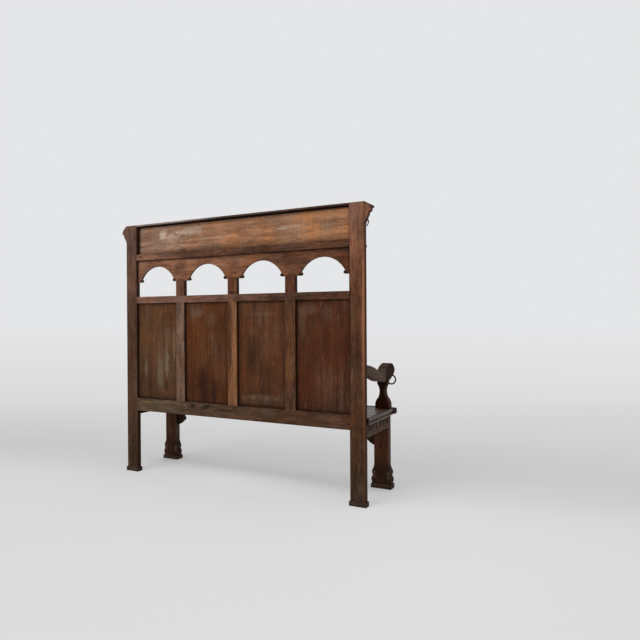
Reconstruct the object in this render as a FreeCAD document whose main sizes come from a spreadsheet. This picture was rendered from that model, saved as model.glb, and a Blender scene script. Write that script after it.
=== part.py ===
import FreeCAD, Part
import math
import os
import Sketcher

# High back bench of oak: a framed back with four panels under an open arcade,
# a moulded cornice, a plank seat between two scrolled arms, and four iron rings.
# The front faces -Y, +X is to the right of someone who looks at the front,
# and the origin is on the floor under the middle of the bench. Millimetres.
# Depths are counted from the back face of the posts towards the front.

SIZES = {
    # the back frame
    "overall_height": 1620.0,
    "back_width": 1706.0,
    "post_width": 88.0,
    "post_depth": 28.5,
    "bottom_rail_rise": 17.0,
    "bottom_rail_height": 82.0,
    "mid_rail_height": 43.0,
    "upper_rail_height": 41.0,
    "muntin_width": 66.0,
    "tenon_length": 32.0,
    "tenon_shoulder": 12.0,
    "muntin_tenon_length": 20.0,
    "fit_gap": 0.2,
    "cut_overrun": 2.0,
    # the panels and their grooves
    "panel_recess": 15.0,
    "groove_width": 8.0,
    "groove_depth": 9.0,
    "panel_gap": 0.8,
    "panel_thickness": 12.5,
    "bevel_width": 34.0,
    # the arcade
    "arcade_height": 143.0,
    "column_height": 94.0,
    "arcade_thickness": 12.0,
    "arch_height": 98.5,
    "nib_reach": 40.0,
    "nib_height": 19.0,
    "column_depth": 25.5,
    "column_setback": 1.5,
    "column_tenon_thickness": 5.0,
    "column_tenon_length": 10.0,
    # the post heads
    "ear_reach": 38.0,
    "ear_height": 117.0,
    "bead_height": 12.0,
    "bead_reach": 10.0,
    # the rear feet
    "foot_height": 27.0,
    "foot_projection": 6.0,
    "foot_round": 4.5,
    "foot_tenon_width": 40.0,
    "foot_tenon_thickness": 10.0,
    "foot_tenon_length": 15.0,
    # the cornice
    "top_board_thickness": 12.0,
    "top_board_reach": 147.0,
    "top_board_round": 3.0,
    "frieze_height": 181.0,
    "frieze_thickness": 14.0,
    "frieze_lap": 10.0,
    "cornice_height": 48.0,
    "cornice_setback": 19.0,
    "console_width": 54.0,
    "console_height": 100.0,
    "console_setback": 24.5,
    # the seat
    "seat_height": 468.0,
    "seat_thickness": 26.0,
    "seat_depth": 403.0,
    "seat_back_gap": 0.5,
    "seat_joint_depth": 190.0,
    "seat_tongue": 8.0,
    "seat_edge_height": 37.0,
    "seat_edge_thickness": 17.0,
    "seat_overhang": 13.0,
    "nosing_height": 38.0,
    "nosing_width": 58.0,
    "nosing_overhang": 3.0,
    "nosing_end_round": 5.0,
    "bearer_thickness": 30.0,
    "bearer_end_gap": 40.0,
    "crossbearer_width": 45.0,
    # the front legs
    "leg_width": 88.0,
    "leg_depth": 44.0,
    "leg_inset": 4.8,
    "leg_foot_spread": 19.0,
    "leg_foot_reach": 8.0,
    "leg_carving_height": 150.0,
    # the aprons
    "apron_height": 77.0,
    "apron_thickness": 22.0,
    "apron_setback": 3.0,
    "apron_tenon_length": 18.0,
    "apron_tenon_thickness": 9.0,
    "apron_moulding_height": 27.0,
    "apron_moulding_reach": 9.0,
    "flute_width": 12.0,
    "flute_depth": 6.0,
    "flute_rest": 30.0,
    "flute_margin": 5.0,
    "bracket_width": 66.0,
    "bracket_height": 120.0,
    "bracket_thickness": 22.0,
    # the arms
    "support_height": 162.0,
    "support_setback": 7.0,
    "support_depth": 44.0,
    "support_width": 87.0,
    "support_neck": 31.0,
    "support_capital": 60.0,
    "support_tenon_width": 30.0,
    "support_tenon_thickness": 14.0,
    "support_tenon_length": 60.0,
    "support_top_tenon_length": 18.0,
    "arm_rise": 122.0,
    "arm_overhang": 116.0,
    "arm_width": 50.0,
    "arm_tenon_length": 18.0,
    "arm_tenon_width": 24.0,
    "arm_tenon_height": 28.0,
    # the iron rings and staples
    "arm_ring_diameter": 65.0,
    "arm_ring_wire": 9.0,
    "arm_ring_standoff": 6.0,
    "arm_ring_lift": 23.0,
    "cornice_ring_diameter": 54.0,
    "cornice_ring_wire": 6.0,
    "cornice_ring_drop": 7.0,
    "staple_wire": 3.6,
    "ring_gap": 0.4,
    "shank_diameter": 5.0,
    "shank_gap": 0.1,
    "shank_bite": 20.0,
    "shank_hole_overrun": 20.0,
    # the pegs
    "peg_diameter": 8.0,
    "peg_length": 22.0,
    "peg_gap": 0.05,
}

PANELS = 4
FLUTES = 5
CROSSBEARERS = 3
SIDE_FLUTE_GROUPS = 2
FRONT_FLUTE_GROUPS = 9

document = FreeCAD.newDocument("high_back_bench")
sheet = document.addObject("Spreadsheet::Sheet", "Sizes")
for row, (alias, number) in enumerate(SIZES.items(), start=1):
    sheet.set("A%d" % row, alias)
    sheet.set("B%d" % row, "%g" % number)
    sheet.setAlias("B%d" % row, alias)
document.recompute()


# A size knows its number and the sheet expression that gives it, so that one
# formula both draws an outline and binds it.
class Size:
    def __init__(self, value, text):
        self.value = float(value)
        self.text = text

    def __add__(self, other):
        return combine(self, "+", other)

    def __radd__(self, other):
        return combine(other, "+", self)

    def __sub__(self, other):
        return combine(self, "-", other)

    def __rsub__(self, other):
        return combine(other, "-", self)

    def __mul__(self, other):
        return combine(self, "*", other)

    def __rmul__(self, other):
        return combine(other, "*", self)

    def __truediv__(self, other):
        return combine(self, "/", other)

    def __neg__(self):
        return combine(0, "-", self)


def as_size(number):
    if isinstance(number, Size):
        return number
    return Size(number, "%r" % float(number))


def combine(left, sign, right):
    left = as_size(left)
    right = as_size(right)
    results = {
        "+": left.value + right.value,
        "-": left.value - right.value,
        "*": left.value * right.value,
    }
    value = left.value / right.value if sign == "/" else results[sign]
    return Size(value, "(%s %s %s)" % (left.text, sign, right.text))


class NamedSizes:
    def __getattr__(self, name):
        return Size(SIZES[name], "Sizes.%s" % name)


d = NamedSizes()

# Sizes that follow from the driving ones.
half_width = d.back_width / 2
inner_half = half_width - d.post_width
panel_sight = (inner_half * 2 - d.muntin_width * (PANELS - 1)) / PANELS
bay_pitch = panel_sight + d.muntin_width
bottom_rail_top = d.seat_height + d.bottom_rail_rise
bottom_rail_low = bottom_rail_top - d.bottom_rail_height
board_low = d.overall_height - d.top_board_thickness
upper_rail_top = board_low - d.frieze_height
upper_rail_low = upper_rail_top - d.upper_rail_height
arcade_low = upper_rail_low - d.arcade_height
mid_rail_top = arcade_low - d.column_height
mid_rail_low = mid_rail_top - d.mid_rail_height
frieze_front = d.post_depth + d.frieze_thickness
cornice_low = board_low - d.cornice_height
cornice_reach = d.top_board_reach - d.cornice_setback
console_reach = cornice_reach - d.console_setback - d.post_depth
cornice_ring_hinge = cornice_low - d.cornice_ring_drop
groove_front = d.panel_recess + d.groove_width
seat_low = d.seat_height - d.seat_thickness
apron_low = seat_low - d.apron_height
bracket_low = apron_low - d.bracket_height
arm_low = d.seat_height + d.support_height
arm_rear_top = arm_low + d.arm_rise
arm_ring_hinge = arm_low + d.arm_ring_lift
arm_front = d.seat_depth + d.arm_overhang
seat_back = d.post_depth + d.seat_back_gap
seat_half = half_width + d.seat_overhang - d.seat_edge_thickness
leg_front = d.seat_depth
leg_back = leg_front - d.leg_depth
support_back = leg_back + d.support_setback
leg_outer = half_width - d.leg_inset
leg_middle = leg_outer - d.leg_width / 2
leg_inner = leg_outer - d.leg_width
post_middle = half_width - d.post_width / 2
arm_ring_plane = arm_front + d.arm_ring_standoff
arm_eye_outer = d.arm_ring_wire / 2 + d.ring_gap + d.staple_wire
front_reach = arm_ring_plane + arm_eye_outer
back_plane = (front_reach - d.foot_projection) / 2

SIDES = {"left": -1, "right": 1}
TOUCH = 1e-4
parts = []


# Helpers: bodies, bound sizes, boxes, sketches and pads.
def bind(thing, path, size):
    size = as_size(size)
    if "Sizes." in size.text:
        thing.setExpression(path, size.text)
        return
    if "." not in path:
        setattr(thing, path, size.value)


def new_body(label, x=0.0):
    body = document.addObject("PartDesign::Body", label)
    body.Label = label
    bind(body, "Placement.Base.x", x)
    bind(body, "Placement.Base.y", back_plane)
    parts.append(body)
    return body


def box(body, name, x, depth, z, cut=False):
    kind = "PartDesign::SubtractiveBox" if cut else "PartDesign::AdditiveBox"
    feature = body.newObject(kind, "%s_%s" % (body.Label, name))
    spans = {"Length": x, "Width": depth, "Height": z}
    for side, (low, high) in spans.items():
        bind(feature, side, as_size(high) - low)
    bind(feature, "Placement.Base.x", x[0])
    bind(feature, "Placement.Base.y", -as_size(depth[1]))
    bind(feature, "Placement.Base.z", z[0])
    return feature


def cut_box(body, name, x, depth, z):
    return box(body, name, x, depth, z, cut=True)


def across(side, low, high):
    """A span to the left or right of the body's own middle plane."""
    if side > 0:
        return (low, high)
    return (-as_size(high), -as_size(low))


def about(middle, width):
    return (middle - width / 2, middle + width / 2)


def origin_plane(body, role):
    for feature in body.Origin.OriginFeatures:
        if feature.Role == role:
            return feature
    raise ValueError("no origin plane " + role)


# An outline is a list of points; a Bend goes to its end in one arc through a middle point.
class Bend:
    def __init__(self, middle, end):
        self.middle = middle
        self.end = end


PLANES = {"front": "XZ_Plane", "side": "YZ_Plane", "top": "XY_Plane"}


def on_plane(view, point):
    """Sketch coordinates of a point given as (x, z), (depth, z) or (x, depth)."""
    first, second = as_size(point[0]), as_size(point[1])
    if view == "side":
        return (-first, second)
    if view == "top":
        return (first, -second)
    return (first, second)


def vector(point):
    return FreeCAD.Vector(point[0].value, point[1].value, 0)


def circle_centre(a, b, c):
    """The centre of the circle through three points."""
    first = b - a
    second = c - a
    area = 2 * (first.x * second.y - first.y * second.x)
    x = (second.y * first.Length ** 2 - first.y * second.Length ** 2) / area
    y = (first.x * second.Length ** 2 - second.x * first.Length ** 2) / area
    return FreeCAD.Vector(a.x + x, a.y + y, 0)


def arc_through(start, middle, end):
    a, b, c = vector(start), vector(middle), vector(end)
    turn = (b - a).cross(c - b).z
    centre = circle_centre(a, b, c)
    first, last = (a, c) if turn > 0 else (c, a)
    low = math.atan2(first.y - centre.y, first.x - centre.x)
    high = math.atan2(last.y - centre.y, last.x - centre.x)
    if high <= low:
        high += 2 * math.pi
    circle = Part.Circle(centre, FreeCAD.Vector(0, 0, 1), (a - centre).Length)
    return Part.ArcOfCircle(circle, low, high), turn > 0


def lock(sketch, geometry, position, point):
    for direction, size in (("DistanceX", point[0]), ("DistanceY", point[1])):
        rule = Sketcher.Constraint(direction, -1, 1, geometry, position, size.value)
        number = sketch.addConstraint(rule)
        if "Sizes." in size.text:
            sketch.setExpression("Constraints[%d]" % number, size.text)


def draw(body, name, view, outline, offset=0.0):
    sketch = body.newObject("Sketcher::SketchObject", "%s_%s" % (body.Label, name))
    sketch.AttachmentSupport = [(origin_plane(body, PLANES[view]), "")]
    sketch.MapMode = "FlatFace"
    bind(sketch, "AttachmentOffset.Base.z", offset)
    trace(sketch, view, outline)
    return sketch


def trace(sketch, view, outline):
    start = on_plane(view, outline[0])
    here = start
    links = []
    for step in outline[1:] + [outline[0]]:
        bend = isinstance(step, Bend)
        there = on_plane(view, step.end if bend else step)
        if (vector(there) - vector(here)).Length < TOUCH:
            continue
        if bend:
            middle = on_plane(view, step.middle)
            arc, forward = arc_through(here, middle, there)
            number = sketch.addGeometry(arc, False)
            ends = (1, 2) if forward else (2, 1)
            mark = sketch.addGeometry(Part.Point(vector(middle)), True)
            lock(sketch, mark, 1, middle)
            sketch.addConstraint(Sketcher.Constraint("PointOnObject", mark, 1, number))
        else:
            number = sketch.addGeometry(Part.LineSegment(vector(here), vector(there)), False)
            ends = (1, 2)
        lock(sketch, number, ends[0], here)
        links.append((number, ends))
        here = there
    for (number, ends), (following, next_ends) in zip(links, links[1:] + links[:1]):
        rule = Sketcher.Constraint("Coincident", number, ends[1], following, next_ends[0])
        sketch.addConstraint(rule)


def pad(body, sketch, length, symmetric=False):
    feature = body.newObject("PartDesign::Pad", sketch.Name + "_pad")
    feature.Profile = sketch
    bind(feature, "Length", length)
    if symmetric:
        feature.SideType = "Symmetric"
    return feature


def slab(body, name, view, outline, length, offset=0.0, symmetric=False):
    return pad(body, draw(body, name, view, outline, offset), length, symmetric)


def rounded(body, base, radius, chosen, name="round"):
    """Rounds the edges of base that the test picks."""
    document.recompute()
    names = []
    for number, edge in enumerate(base.Shape.Edges, start=1):
        if chosen(edge):
            names.append("Edge%d" % number)
    feature = body.newObject("PartDesign::Fillet", "%s_%s" % (body.Label, name))
    feature.Base = (base, names)
    bind(feature, "Radius", radius)
    return feature


def is_level(edge, height):
    extent = edge.BoundBox
    return abs(extent.ZMin - height) < TOUCH and abs(extent.ZMax - height) < TOUCH


def turned(axis):
    """A placement that turns a piece by a quarter about the axis."""
    return FreeCAD.Placement(FreeCAD.Vector(0, 0, 0), FreeCAD.Rotation(axis, 90))


FORWARD = turned(FreeCAD.Vector(1, 0, 0))
SIDEWAYS = turned(FreeCAD.Vector(0, 1, 0))


# Tenons lie in the plane of the panel grooves.
def tenon_depths(gap=0.0):
    return (d.panel_recess - gap, groove_front + gap)


# The rear posts carry every rail, the arms and the side aprons. The head is
# carved to a beaked ear that reaches out under the end of the cornice.
EAR_SHARES = {
    # reach share, drop share
    "crest": (0.50, 0.13),
    "beak": (1.0, 0.385),
    "beak_round": (0.90, 0.45),
    "under": (0.62, 0.50),
    "lip": (0.56, 0.625),
    "step": (0.34, 0.735),
    "root": (0.15, 0.83),
    "ear_foot": (0.0, 1.0),
}


def ear_point(side, key):
    reach, drop = EAR_SHARES[key]
    x = side * (d.post_width + d.ear_reach * reach)
    return (x, d.overall_height - d.ear_height * drop)


def rear_post(name, side):
    body = new_body("rear_post_" + name, x=side * inner_half)
    ear = {key: ear_point(side, key) for key in EAR_SHARES}
    outline = [
        (0, d.foot_height),
        (0, d.overall_height),
        (side * d.post_width, d.overall_height),
        Bend(ear["crest"], ear["beak"]),
        Bend(ear["beak_round"], ear["under"]),
        ear["lip"],
        ear["step"],
        Bend(ear["root"], ear["ear_foot"]),
        (side * d.post_width, d.foot_height),
    ]
    slab(body, "outline", "front", outline, d.post_depth)
    middle = across(side, d.post_width / 2, d.post_width / 2)[0]
    box(body, "foot_tenon", about(middle, d.foot_tenon_width),
        about(d.post_depth / 2, d.foot_tenon_thickness),
        (d.foot_height - d.foot_tenon_length, d.foot_height + d.cut_overrun))
    groove = across(side, -d.cut_overrun, d.groove_depth)
    cut_box(body, "panel_groove", groove, tenon_depths(),
            (bottom_rail_top - d.groove_depth, mid_rail_low + d.groove_depth))
    cut_box(body, "arcade_groove", groove, tenon_depths(),
            (arcade_low, upper_rail_low + d.groove_depth))
    mortise = across(side, -d.cut_overrun, d.tenon_length + d.fit_gap)
    for rail_name, (low, high) in RAIL_HEIGHTS.items():
        cut_box(body, rail_name + "_mortise", mortise, tenon_depths(),
                (low + d.tenon_shoulder, high - d.tenon_shoulder))
    for height in post_peg_heights():
        peg_hole(body, side * d.tenon_length / 2, height)
    cut_box(body, "arm_mortise", about(middle, d.arm_tenon_width),
            (d.post_depth - d.arm_tenon_length - d.fit_gap, d.post_depth + d.cut_overrun),
            (arm_tenon_low, arm_tenon_high))
    apron_middle = side * (side_apron_middle - inner_half)
    cut_box(body, "apron_mortise", about(apron_middle, d.apron_tenon_thickness),
            (d.post_depth - d.apron_tenon_length - d.fit_gap, d.post_depth + d.cut_overrun),
            (apron_tenon_low, apron_tenon_high))
    return body


side_apron_middle = leg_outer - d.apron_setback - d.apron_thickness / 2
apron_tenon_low = apron_low + d.tenon_shoulder
apron_tenon_high = seat_low - d.tenon_shoulder
arm_tenon_high = arm_rear_top - d.tenon_shoulder
arm_tenon_low = arm_tenon_high - d.arm_tenon_height


def rear_foot(name, side):
    body = new_body("rear_foot_" + name, x=side * post_middle)
    reach = d.post_width / 2 + d.foot_projection
    block = box(body, "block", (-reach, reach),
                (-d.foot_projection, d.post_depth + d.foot_projection), (0, d.foot_height))
    soft = rounded(body, block, d.foot_round,
                   lambda edge: is_level(edge, d.foot_height.value))
    cut_box(body, "mortise", about(as_size(0), d.foot_tenon_width),
            about(d.post_depth / 2, d.foot_tenon_thickness),
            (d.foot_height - d.foot_tenon_length - d.fit_gap, d.foot_height + d.cut_overrun))
    return soft


# Rails run from post to post, with a tenon at each end; a peg locks each tenon.
RAIL_HEIGHTS = {
    "bottom_rail": (bottom_rail_low, bottom_rail_top),
    "mid_rail": (mid_rail_low, mid_rail_top),
    "upper_rail": (upper_rail_low, upper_rail_top),
}
RAIL_PEGS = {"bottom_rail": 2, "mid_rail": 1, "upper_rail": 1}


def rail_peg_heights(label):
    low, high = RAIL_HEIGHTS[label]
    count = RAIL_PEGS[label]
    return [low + (high - low) * (number * 2 + 1) / (count * 2) for number in range(count)]


def post_peg_heights():
    return [height for label in RAIL_HEIGHTS for height in rail_peg_heights(label)]


def rail(label):
    body = new_body(label)
    low, high = RAIL_HEIGHTS[label]
    box(body, "bar", (-inner_half, inner_half), (0, d.post_depth), (low, high))
    reach = inner_half + d.tenon_length
    box(body, "tenons", (-reach, reach), tenon_depths(),
        (low + d.tenon_shoulder, high - d.tenon_shoulder))
    for height in rail_peg_heights(label):
        for side in SIDES.values():
            peg_hole(body, side * rail_peg_place, height)
    return body


rail_peg_place = inner_half + d.tenon_length / 2
lower_peg_height = bottom_rail_top - d.muntin_tenon_length / 2
higher_peg_height = mid_rail_low + d.muntin_tenon_length / 2


def peg_hole(body, x, z):
    count = len([feature for feature in body.Group if "_peg_" in feature.Name])
    name = "%s_peg_%d" % (body.Label, count + 1)
    hole = body.newObject("PartDesign::SubtractiveCylinder", name)
    hole.Placement = FORWARD
    bind(hole, "Radius", d.peg_diameter / 2 + d.peg_gap)
    bind(hole, "Height", d.peg_length + d.fit_gap + d.cut_overrun)
    bind(hole, "Placement.Base.x", x)
    bind(hole, "Placement.Base.y", d.peg_length + d.fit_gap - d.post_depth)
    bind(hole, "Placement.Base.z", z)


# Pegs are driven from the front and stop short of the back face.
def frame_pegs():
    places = []
    for side in SIDES.values():
        places += [(side * rail_peg_place, height) for height in post_peg_heights()]
    for middle in muntin_places():
        places += [(middle, lower_peg_height), (middle, higher_peg_height)]
    pegs = []
    for number, (x, z) in enumerate(places, start=1):
        peg = document.addObject("Part::Cylinder", "frame_peg_%d" % number)
        peg.Placement = FORWARD
        bind(peg, "Radius", d.peg_diameter / 2)
        bind(peg, "Height", d.peg_length)
        bind(peg, "Placement.Base.x", x)
        bind(peg, "Placement.Base.y", back_plane - d.post_depth + d.peg_length)
        bind(peg, "Placement.Base.z", z)
        pegs.append(peg)
    gathered("frame_pegs", pegs)


def gathered(label, pieces):
    group = document.addObject("Part::Compound", label)
    group.Label = label
    group.Links = pieces
    parts.append(group)


def muntin_places():
    return [bay_pitch * (number - PANELS / 2) for number in range(1, PANELS)]


MUNTIN_NAMES = ("left", "middle", "right")


def rail_groove(body, name, face, inward):
    """A groove along a rail's edge; inward is +1 where the groove runs up from the face."""
    ends = (face - d.cut_overrun, face + d.groove_depth)
    if inward < 0:
        ends = (face - d.groove_depth, face + d.cut_overrun)
    cut_box(body, name, (-inner_half, inner_half), tenon_depths(), ends)


def upright_mortises(body, name, face, inward, depths, length):
    ends = (face - d.cut_overrun, face + length + d.fit_gap)
    if inward < 0:
        ends = (face - length - d.fit_gap, face + d.cut_overrun)
    for number, middle in enumerate(muntin_places(), start=1):
        cut_box(body, "%s_%d" % (name, number), about(middle, muntin_tenon_width), depths, ends)


muntin_tenon_width = d.muntin_width - d.groove_depth * 2


def column_tenon_depths():
    return about(d.panel_recess + d.arcade_thickness / 2, d.column_tenon_thickness)


def bottom_rail():
    body = rail("bottom_rail")
    rail_groove(body, "groove", bottom_rail_top, -1)
    upright_mortises(body, "mortise", bottom_rail_top, -1, tenon_depths(), d.muntin_tenon_length)
    for middle in muntin_places():
        peg_hole(body, middle, lower_peg_height)


def mid_rail():
    body = rail("mid_rail")
    rail_groove(body, "groove", mid_rail_low, 1)
    upright_mortises(body, "mortise", mid_rail_low, 1, tenon_depths(), d.muntin_tenon_length)
    upright_mortises(body, "column_mortise", mid_rail_top, -1,
                     column_tenon_depths(), d.column_tenon_length)
    for middle in muntin_places():
        peg_hole(body, middle, higher_peg_height)


def upper_rail():
    body = rail("upper_rail")
    rail_groove(body, "groove", upper_rail_low, 1)


def muntins():
    for name, middle in zip(MUNTIN_NAMES, muntin_places()):
        body = new_body("muntin_" + name, x=middle)
        half = d.muntin_width / 2
        box(body, "bar", (-half, half), (0, d.post_depth), (bottom_rail_top, mid_rail_low))
        box(body, "tenons", about(as_size(0), muntin_tenon_width), tenon_depths(),
            (bottom_rail_top - d.muntin_tenon_length, mid_rail_low + d.muntin_tenon_length))
        for side_name, side in SIDES.items():
            cut_box(body, "groove_" + side_name,
                    across(side, half - d.groove_depth, half + d.cut_overrun),
                    tenon_depths(), (bottom_rail_top, mid_rail_low))
        for height in (lower_peg_height, higher_peg_height):
            peg_hole(body, 0, height)


def columns():
    back = d.column_setback
    for name, middle in zip(MUNTIN_NAMES, muntin_places()):
        body = new_body("arcade_column_" + name, x=middle)
        box(body, "shaft", about(as_size(0), d.muntin_width), (back, back + d.column_depth),
            (mid_rail_top, arcade_low))
        box(body, "tenons", about(as_size(0), muntin_tenon_width), column_tenon_depths(),
            (mid_rail_top - d.column_tenon_length, arcade_low + d.column_tenon_length))


# Each panel is thinned all round on its front face to slip into the grooves.
def back_panels():
    edge_thickness = d.groove_width - d.fit_gap
    reach = panel_sight / 2 + d.groove_depth - d.panel_gap
    low = bottom_rail_top - d.groove_depth
    high = mid_rail_low + d.groove_depth - d.panel_gap
    for number in range(PANELS):
        middle = bay_pitch * (number - (PANELS - 1) / 2)
        body = new_body("back_panel_%d" % (number + 1), x=middle)
        back = d.panel_recess + d.fit_gap / 2
        tongue = back + edge_thickness
        box(body, "board", (-reach, reach), (back, tongue), (low, high))
        field = body.newObject("PartDesign::AdditiveWedge", body.Label + "_field")
        across_field = {
            "Xmin": -panel_sight / 2 + d.bevel_width,
            "Xmax": panel_sight / 2 - d.bevel_width,
            "Zmin": bottom_rail_top + d.bevel_width,
            "Zmax": mid_rail_low - d.bevel_width,
            "X2min": -panel_sight / 2 + d.panel_gap,
            "X2max": panel_sight / 2 - d.panel_gap,
            "Z2min": bottom_rail_top + d.panel_gap,
            "Z2max": mid_rail_low - d.panel_gap,
            "Ymin": -(back + d.panel_thickness),
            "Ymax": -tongue,
        }
        for side, place in across_field.items():
            bind(field, side, place)


# The arcade board: four round arches whose feet land on rounded nibs.
def arcade_board():
    body = new_body("arcade_board")
    low = arcade_low
    end = inner_half + d.groove_depth - d.panel_gap
    top = upper_rail_low + d.groove_depth - d.panel_gap
    nib_round = d.nib_height / 2
    nib_top = low + d.nib_height
    spring = panel_sight / 2 - d.nib_reach + nib_round
    outline = [(-end, low)]
    for number in range(PANELS):
        middle = bay_pitch * (number - (PANELS - 1) / 2)
        outline += [
            (middle - spring, low),
            Bend((middle - spring + nib_round, low + nib_round), (middle - spring, nib_top)),
            Bend((middle, low + d.arch_height), (middle + spring, nib_top)),
            Bend((middle + spring - nib_round, low + nib_round), (middle + spring, low)),
        ]
    outline += [(end, low), (end, top), (-end, top)]
    slab(body, "outline", "front", outline, d.arcade_thickness,
         offset=d.panel_recess + d.fit_gap / 2)
    front = (groove_front - d.fit_gap / 2, d.post_depth)
    cut_box(body, "top_rebate", (-end - d.cut_overrun, end + d.cut_overrun), front,
            (upper_rail_low - d.fit_gap, top + d.cut_overrun))
    for side_name, side in SIDES.items():
        cut_box(body, "rebate_" + side_name,
                across(side, inner_half - d.fit_gap, end + d.cut_overrun),
                front, (low - d.cut_overrun, top))
    upright_mortises(body, "mortise", low, 1, column_tenon_depths(), d.column_tenon_length)


# The frieze board is planted on the front of the posts and the upper rail.
def frieze_panel():
    body = new_body("frieze_panel")
    reach = inner_half + d.frieze_lap
    box(body, "board", (-reach, reach), (d.post_depth, frieze_front),
        (upper_rail_top - d.frieze_lap, board_low))


def post_bead(name, side):
    body = new_body("post_bead_" + name, x=side * post_middle)
    low = upper_rail_low - d.bead_height / 2
    high = low + d.bead_height
    profile = [
        (d.post_depth, low),
        Bend((d.post_depth + d.bead_reach, upper_rail_low), (d.post_depth, high)),
    ]
    slab(body, "profile", "side", profile, d.post_width, symmetric=True)


# The cornice: a thin shelf board over a hollow moulding, and a console at each end.
def top_board():
    body = new_body("top_board")
    board = box(body, "board", (-half_width, half_width), (0, d.top_board_reach),
                (board_low, d.overall_height))
    front = -d.top_board_reach.value
    rounded(body, board, d.top_board_round,
            lambda edge: edge.BoundBox.YMax < front + TOUCH and edge.BoundBox.XLength > TOUCH)
    for side_name, side in SIDES.items():
        cut_box(body, "notch_" + side_name,
                across(side, inner_half - d.fit_gap, half_width + d.cut_overrun),
                (-d.cut_overrun, d.post_depth + d.fit_gap),
                (board_low - d.cut_overrun, d.overall_height + d.cut_overrun))


CORNICE_SHARES = {
    # reach share from the frieze, height share
    "soffit": (0.40, 0.0),
    "bead": (0.47, 0.125),
    "hollow_foot": (0.40, 0.25),
    "hollow": (0.53, 0.66),
    "hollow_top": (0.90, 0.833),
    "fillet": (1.0, 0.833),
}


def cornice_moulding():
    body = new_body("cornice_moulding")
    place = {}
    for key, (reach, rise) in CORNICE_SHARES.items():
        place[key] = (frieze_front + (cornice_reach - frieze_front) * reach,
                      cornice_low + d.cornice_height * rise)
    profile = [
        (frieze_front, cornice_low),
        place["soffit"],
        Bend(place["bead"], place["hollow_foot"]),
        Bend(place["hollow"], place["hollow_top"]),
        place["fillet"],
        (cornice_reach, board_low),
        (frieze_front, board_low),
    ]
    slab(body, "profile", "side", profile, d.back_width, symmetric=True)


# A console is a scrolled block on the post front; its nose holds the ring staple.
CONSOLE_SHARES = {
    # reach share, height share
    "top_front": (0.88, 1.0),
    "brow": (0.975, 0.97),
    "nose": (1.0, 0.91),
    "lip": (0.97, 0.80),
    "chin": (0.84, 0.71),
    "hollow": (0.56, 0.49),
    "hollow_foot": (0.42, 0.24),
    "foot_roll": (0.30, 0.05),
}


def console(name, side):
    body = new_body("console_" + name, x=side * post_middle)
    low = cornice_low - d.console_height
    place = {}
    for key, (reach, rise) in CONSOLE_SHARES.items():
        place[key] = (d.post_depth + console_reach * reach, low + d.console_height * rise)
    profile = [
        (d.post_depth, low),
        (d.post_depth, cornice_low),
        place["top_front"],
        Bend(place["brow"], place["nose"]),
        Bend(place["lip"], place["chin"]),
        Bend(place["hollow"], place["hollow_foot"]),
        Bend(place["foot_roll"], (d.post_depth, low)),
    ]
    slab(body, "profile", "side", profile, d.console_width, symmetric=True)
    shank_hole(body, cornice_ring_hinge, console_nose_depth)


console_nose_depth = d.post_depth + console_reach
cornice_eye_outer = d.cornice_ring_wire / 2 + d.ring_gap + d.staple_wire
cornice_ring_plane = console_nose_depth + cornice_eye_outer


def shank_hole(body, height, face_depth):
    hole = body.newObject("PartDesign::SubtractiveCylinder", body.Label + "_shank_hole")
    hole.Placement = FORWARD
    bind(hole, "Radius", d.shank_diameter / 2 + d.shank_gap)
    bind(hole, "Height", d.shank_bite + d.fit_gap + d.shank_hole_overrun)
    bind(hole, "Placement.Base.y", -(face_depth - d.shank_bite - d.fit_gap))
    bind(hole, "Placement.Base.z", height)


# A staple is a small iron eye on a shank; a ring hangs through it.
def staple(label, x, plane, height, wire, face_depth):
    body = new_body(label, x=x)
    inner = wire / 2 + d.ring_gap
    eye = body.newObject("PartDesign::AdditiveTorus", label + "_eye")
    eye.Placement = SIDEWAYS
    bind(eye, "Radius1", inner + d.staple_wire / 2)
    bind(eye, "Radius2", d.staple_wire / 2)
    bind(eye, "Placement.Base.y", -plane)
    bind(eye, "Placement.Base.z", height)
    shank = body.newObject("PartDesign::AdditiveCylinder", label + "_shank")
    shank.Placement = FORWARD
    start = face_depth - d.shank_bite
    end = plane - inner - d.staple_wire / 2
    bind(shank, "Radius", d.shank_diameter / 2)
    bind(shank, "Height", end - start)
    bind(shank, "Placement.Base.y", -start)
    bind(shank, "Placement.Base.z", height)


def ring(label, x, plane, height, diameter, wire):
    body = new_body(label, x=x)
    loop = body.newObject("PartDesign::AdditiveTorus", label + "_loop")
    loop.Placement = FORWARD
    bind(loop, "Radius1", (diameter - wire) / 2)
    bind(loop, "Radius2", wire / 2)
    bind(loop, "Placement.Base.y", -plane)
    bind(loop, "Placement.Base.z", height - (diameter - wire) / 2)


# The seat: two boards joined by a tongue, framed by a moulded edge and a round nosing.
def seat_boards():
    joint = seat_back + d.seat_joint_depth
    tongue = about(seat_low + d.seat_thickness / 2, d.seat_tongue)
    rear = new_body("seat_board_rear")
    box(rear, "board", (-seat_half, seat_half), (seat_back, joint), (seat_low, d.seat_height))
    cut_box(rear, "tongue_groove", (-seat_half - d.cut_overrun, seat_half + d.cut_overrun),
            (joint - d.seat_tongue - d.fit_gap, joint + d.cut_overrun), tongue)
    front = new_body("seat_board_front")
    box(front, "board", (-seat_half, seat_half), (joint, leg_front), (seat_low, d.seat_height))
    box(front, "tongue", (-seat_half, seat_half), (joint - d.seat_tongue, joint + d.cut_overrun),
        (tongue[0] + d.fit_gap / 2, tongue[1] - d.fit_gap / 2))
    for side_name, side in SIDES.items():
        cut_box(front, "support_hole_" + side_name,
                about(side * post_middle, d.support_tenon_width + d.fit_gap * 2),
                support_tenon_depths(d.fit_gap),
                (seat_low - d.cut_overrun, d.seat_height + d.cut_overrun))


support_middle = support_back + d.support_depth / 2


def support_tenon_depths(gap=0.0):
    middle = (support_back + leg_front) / 2
    return about(middle, d.support_tenon_thickness + gap * 2)


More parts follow.
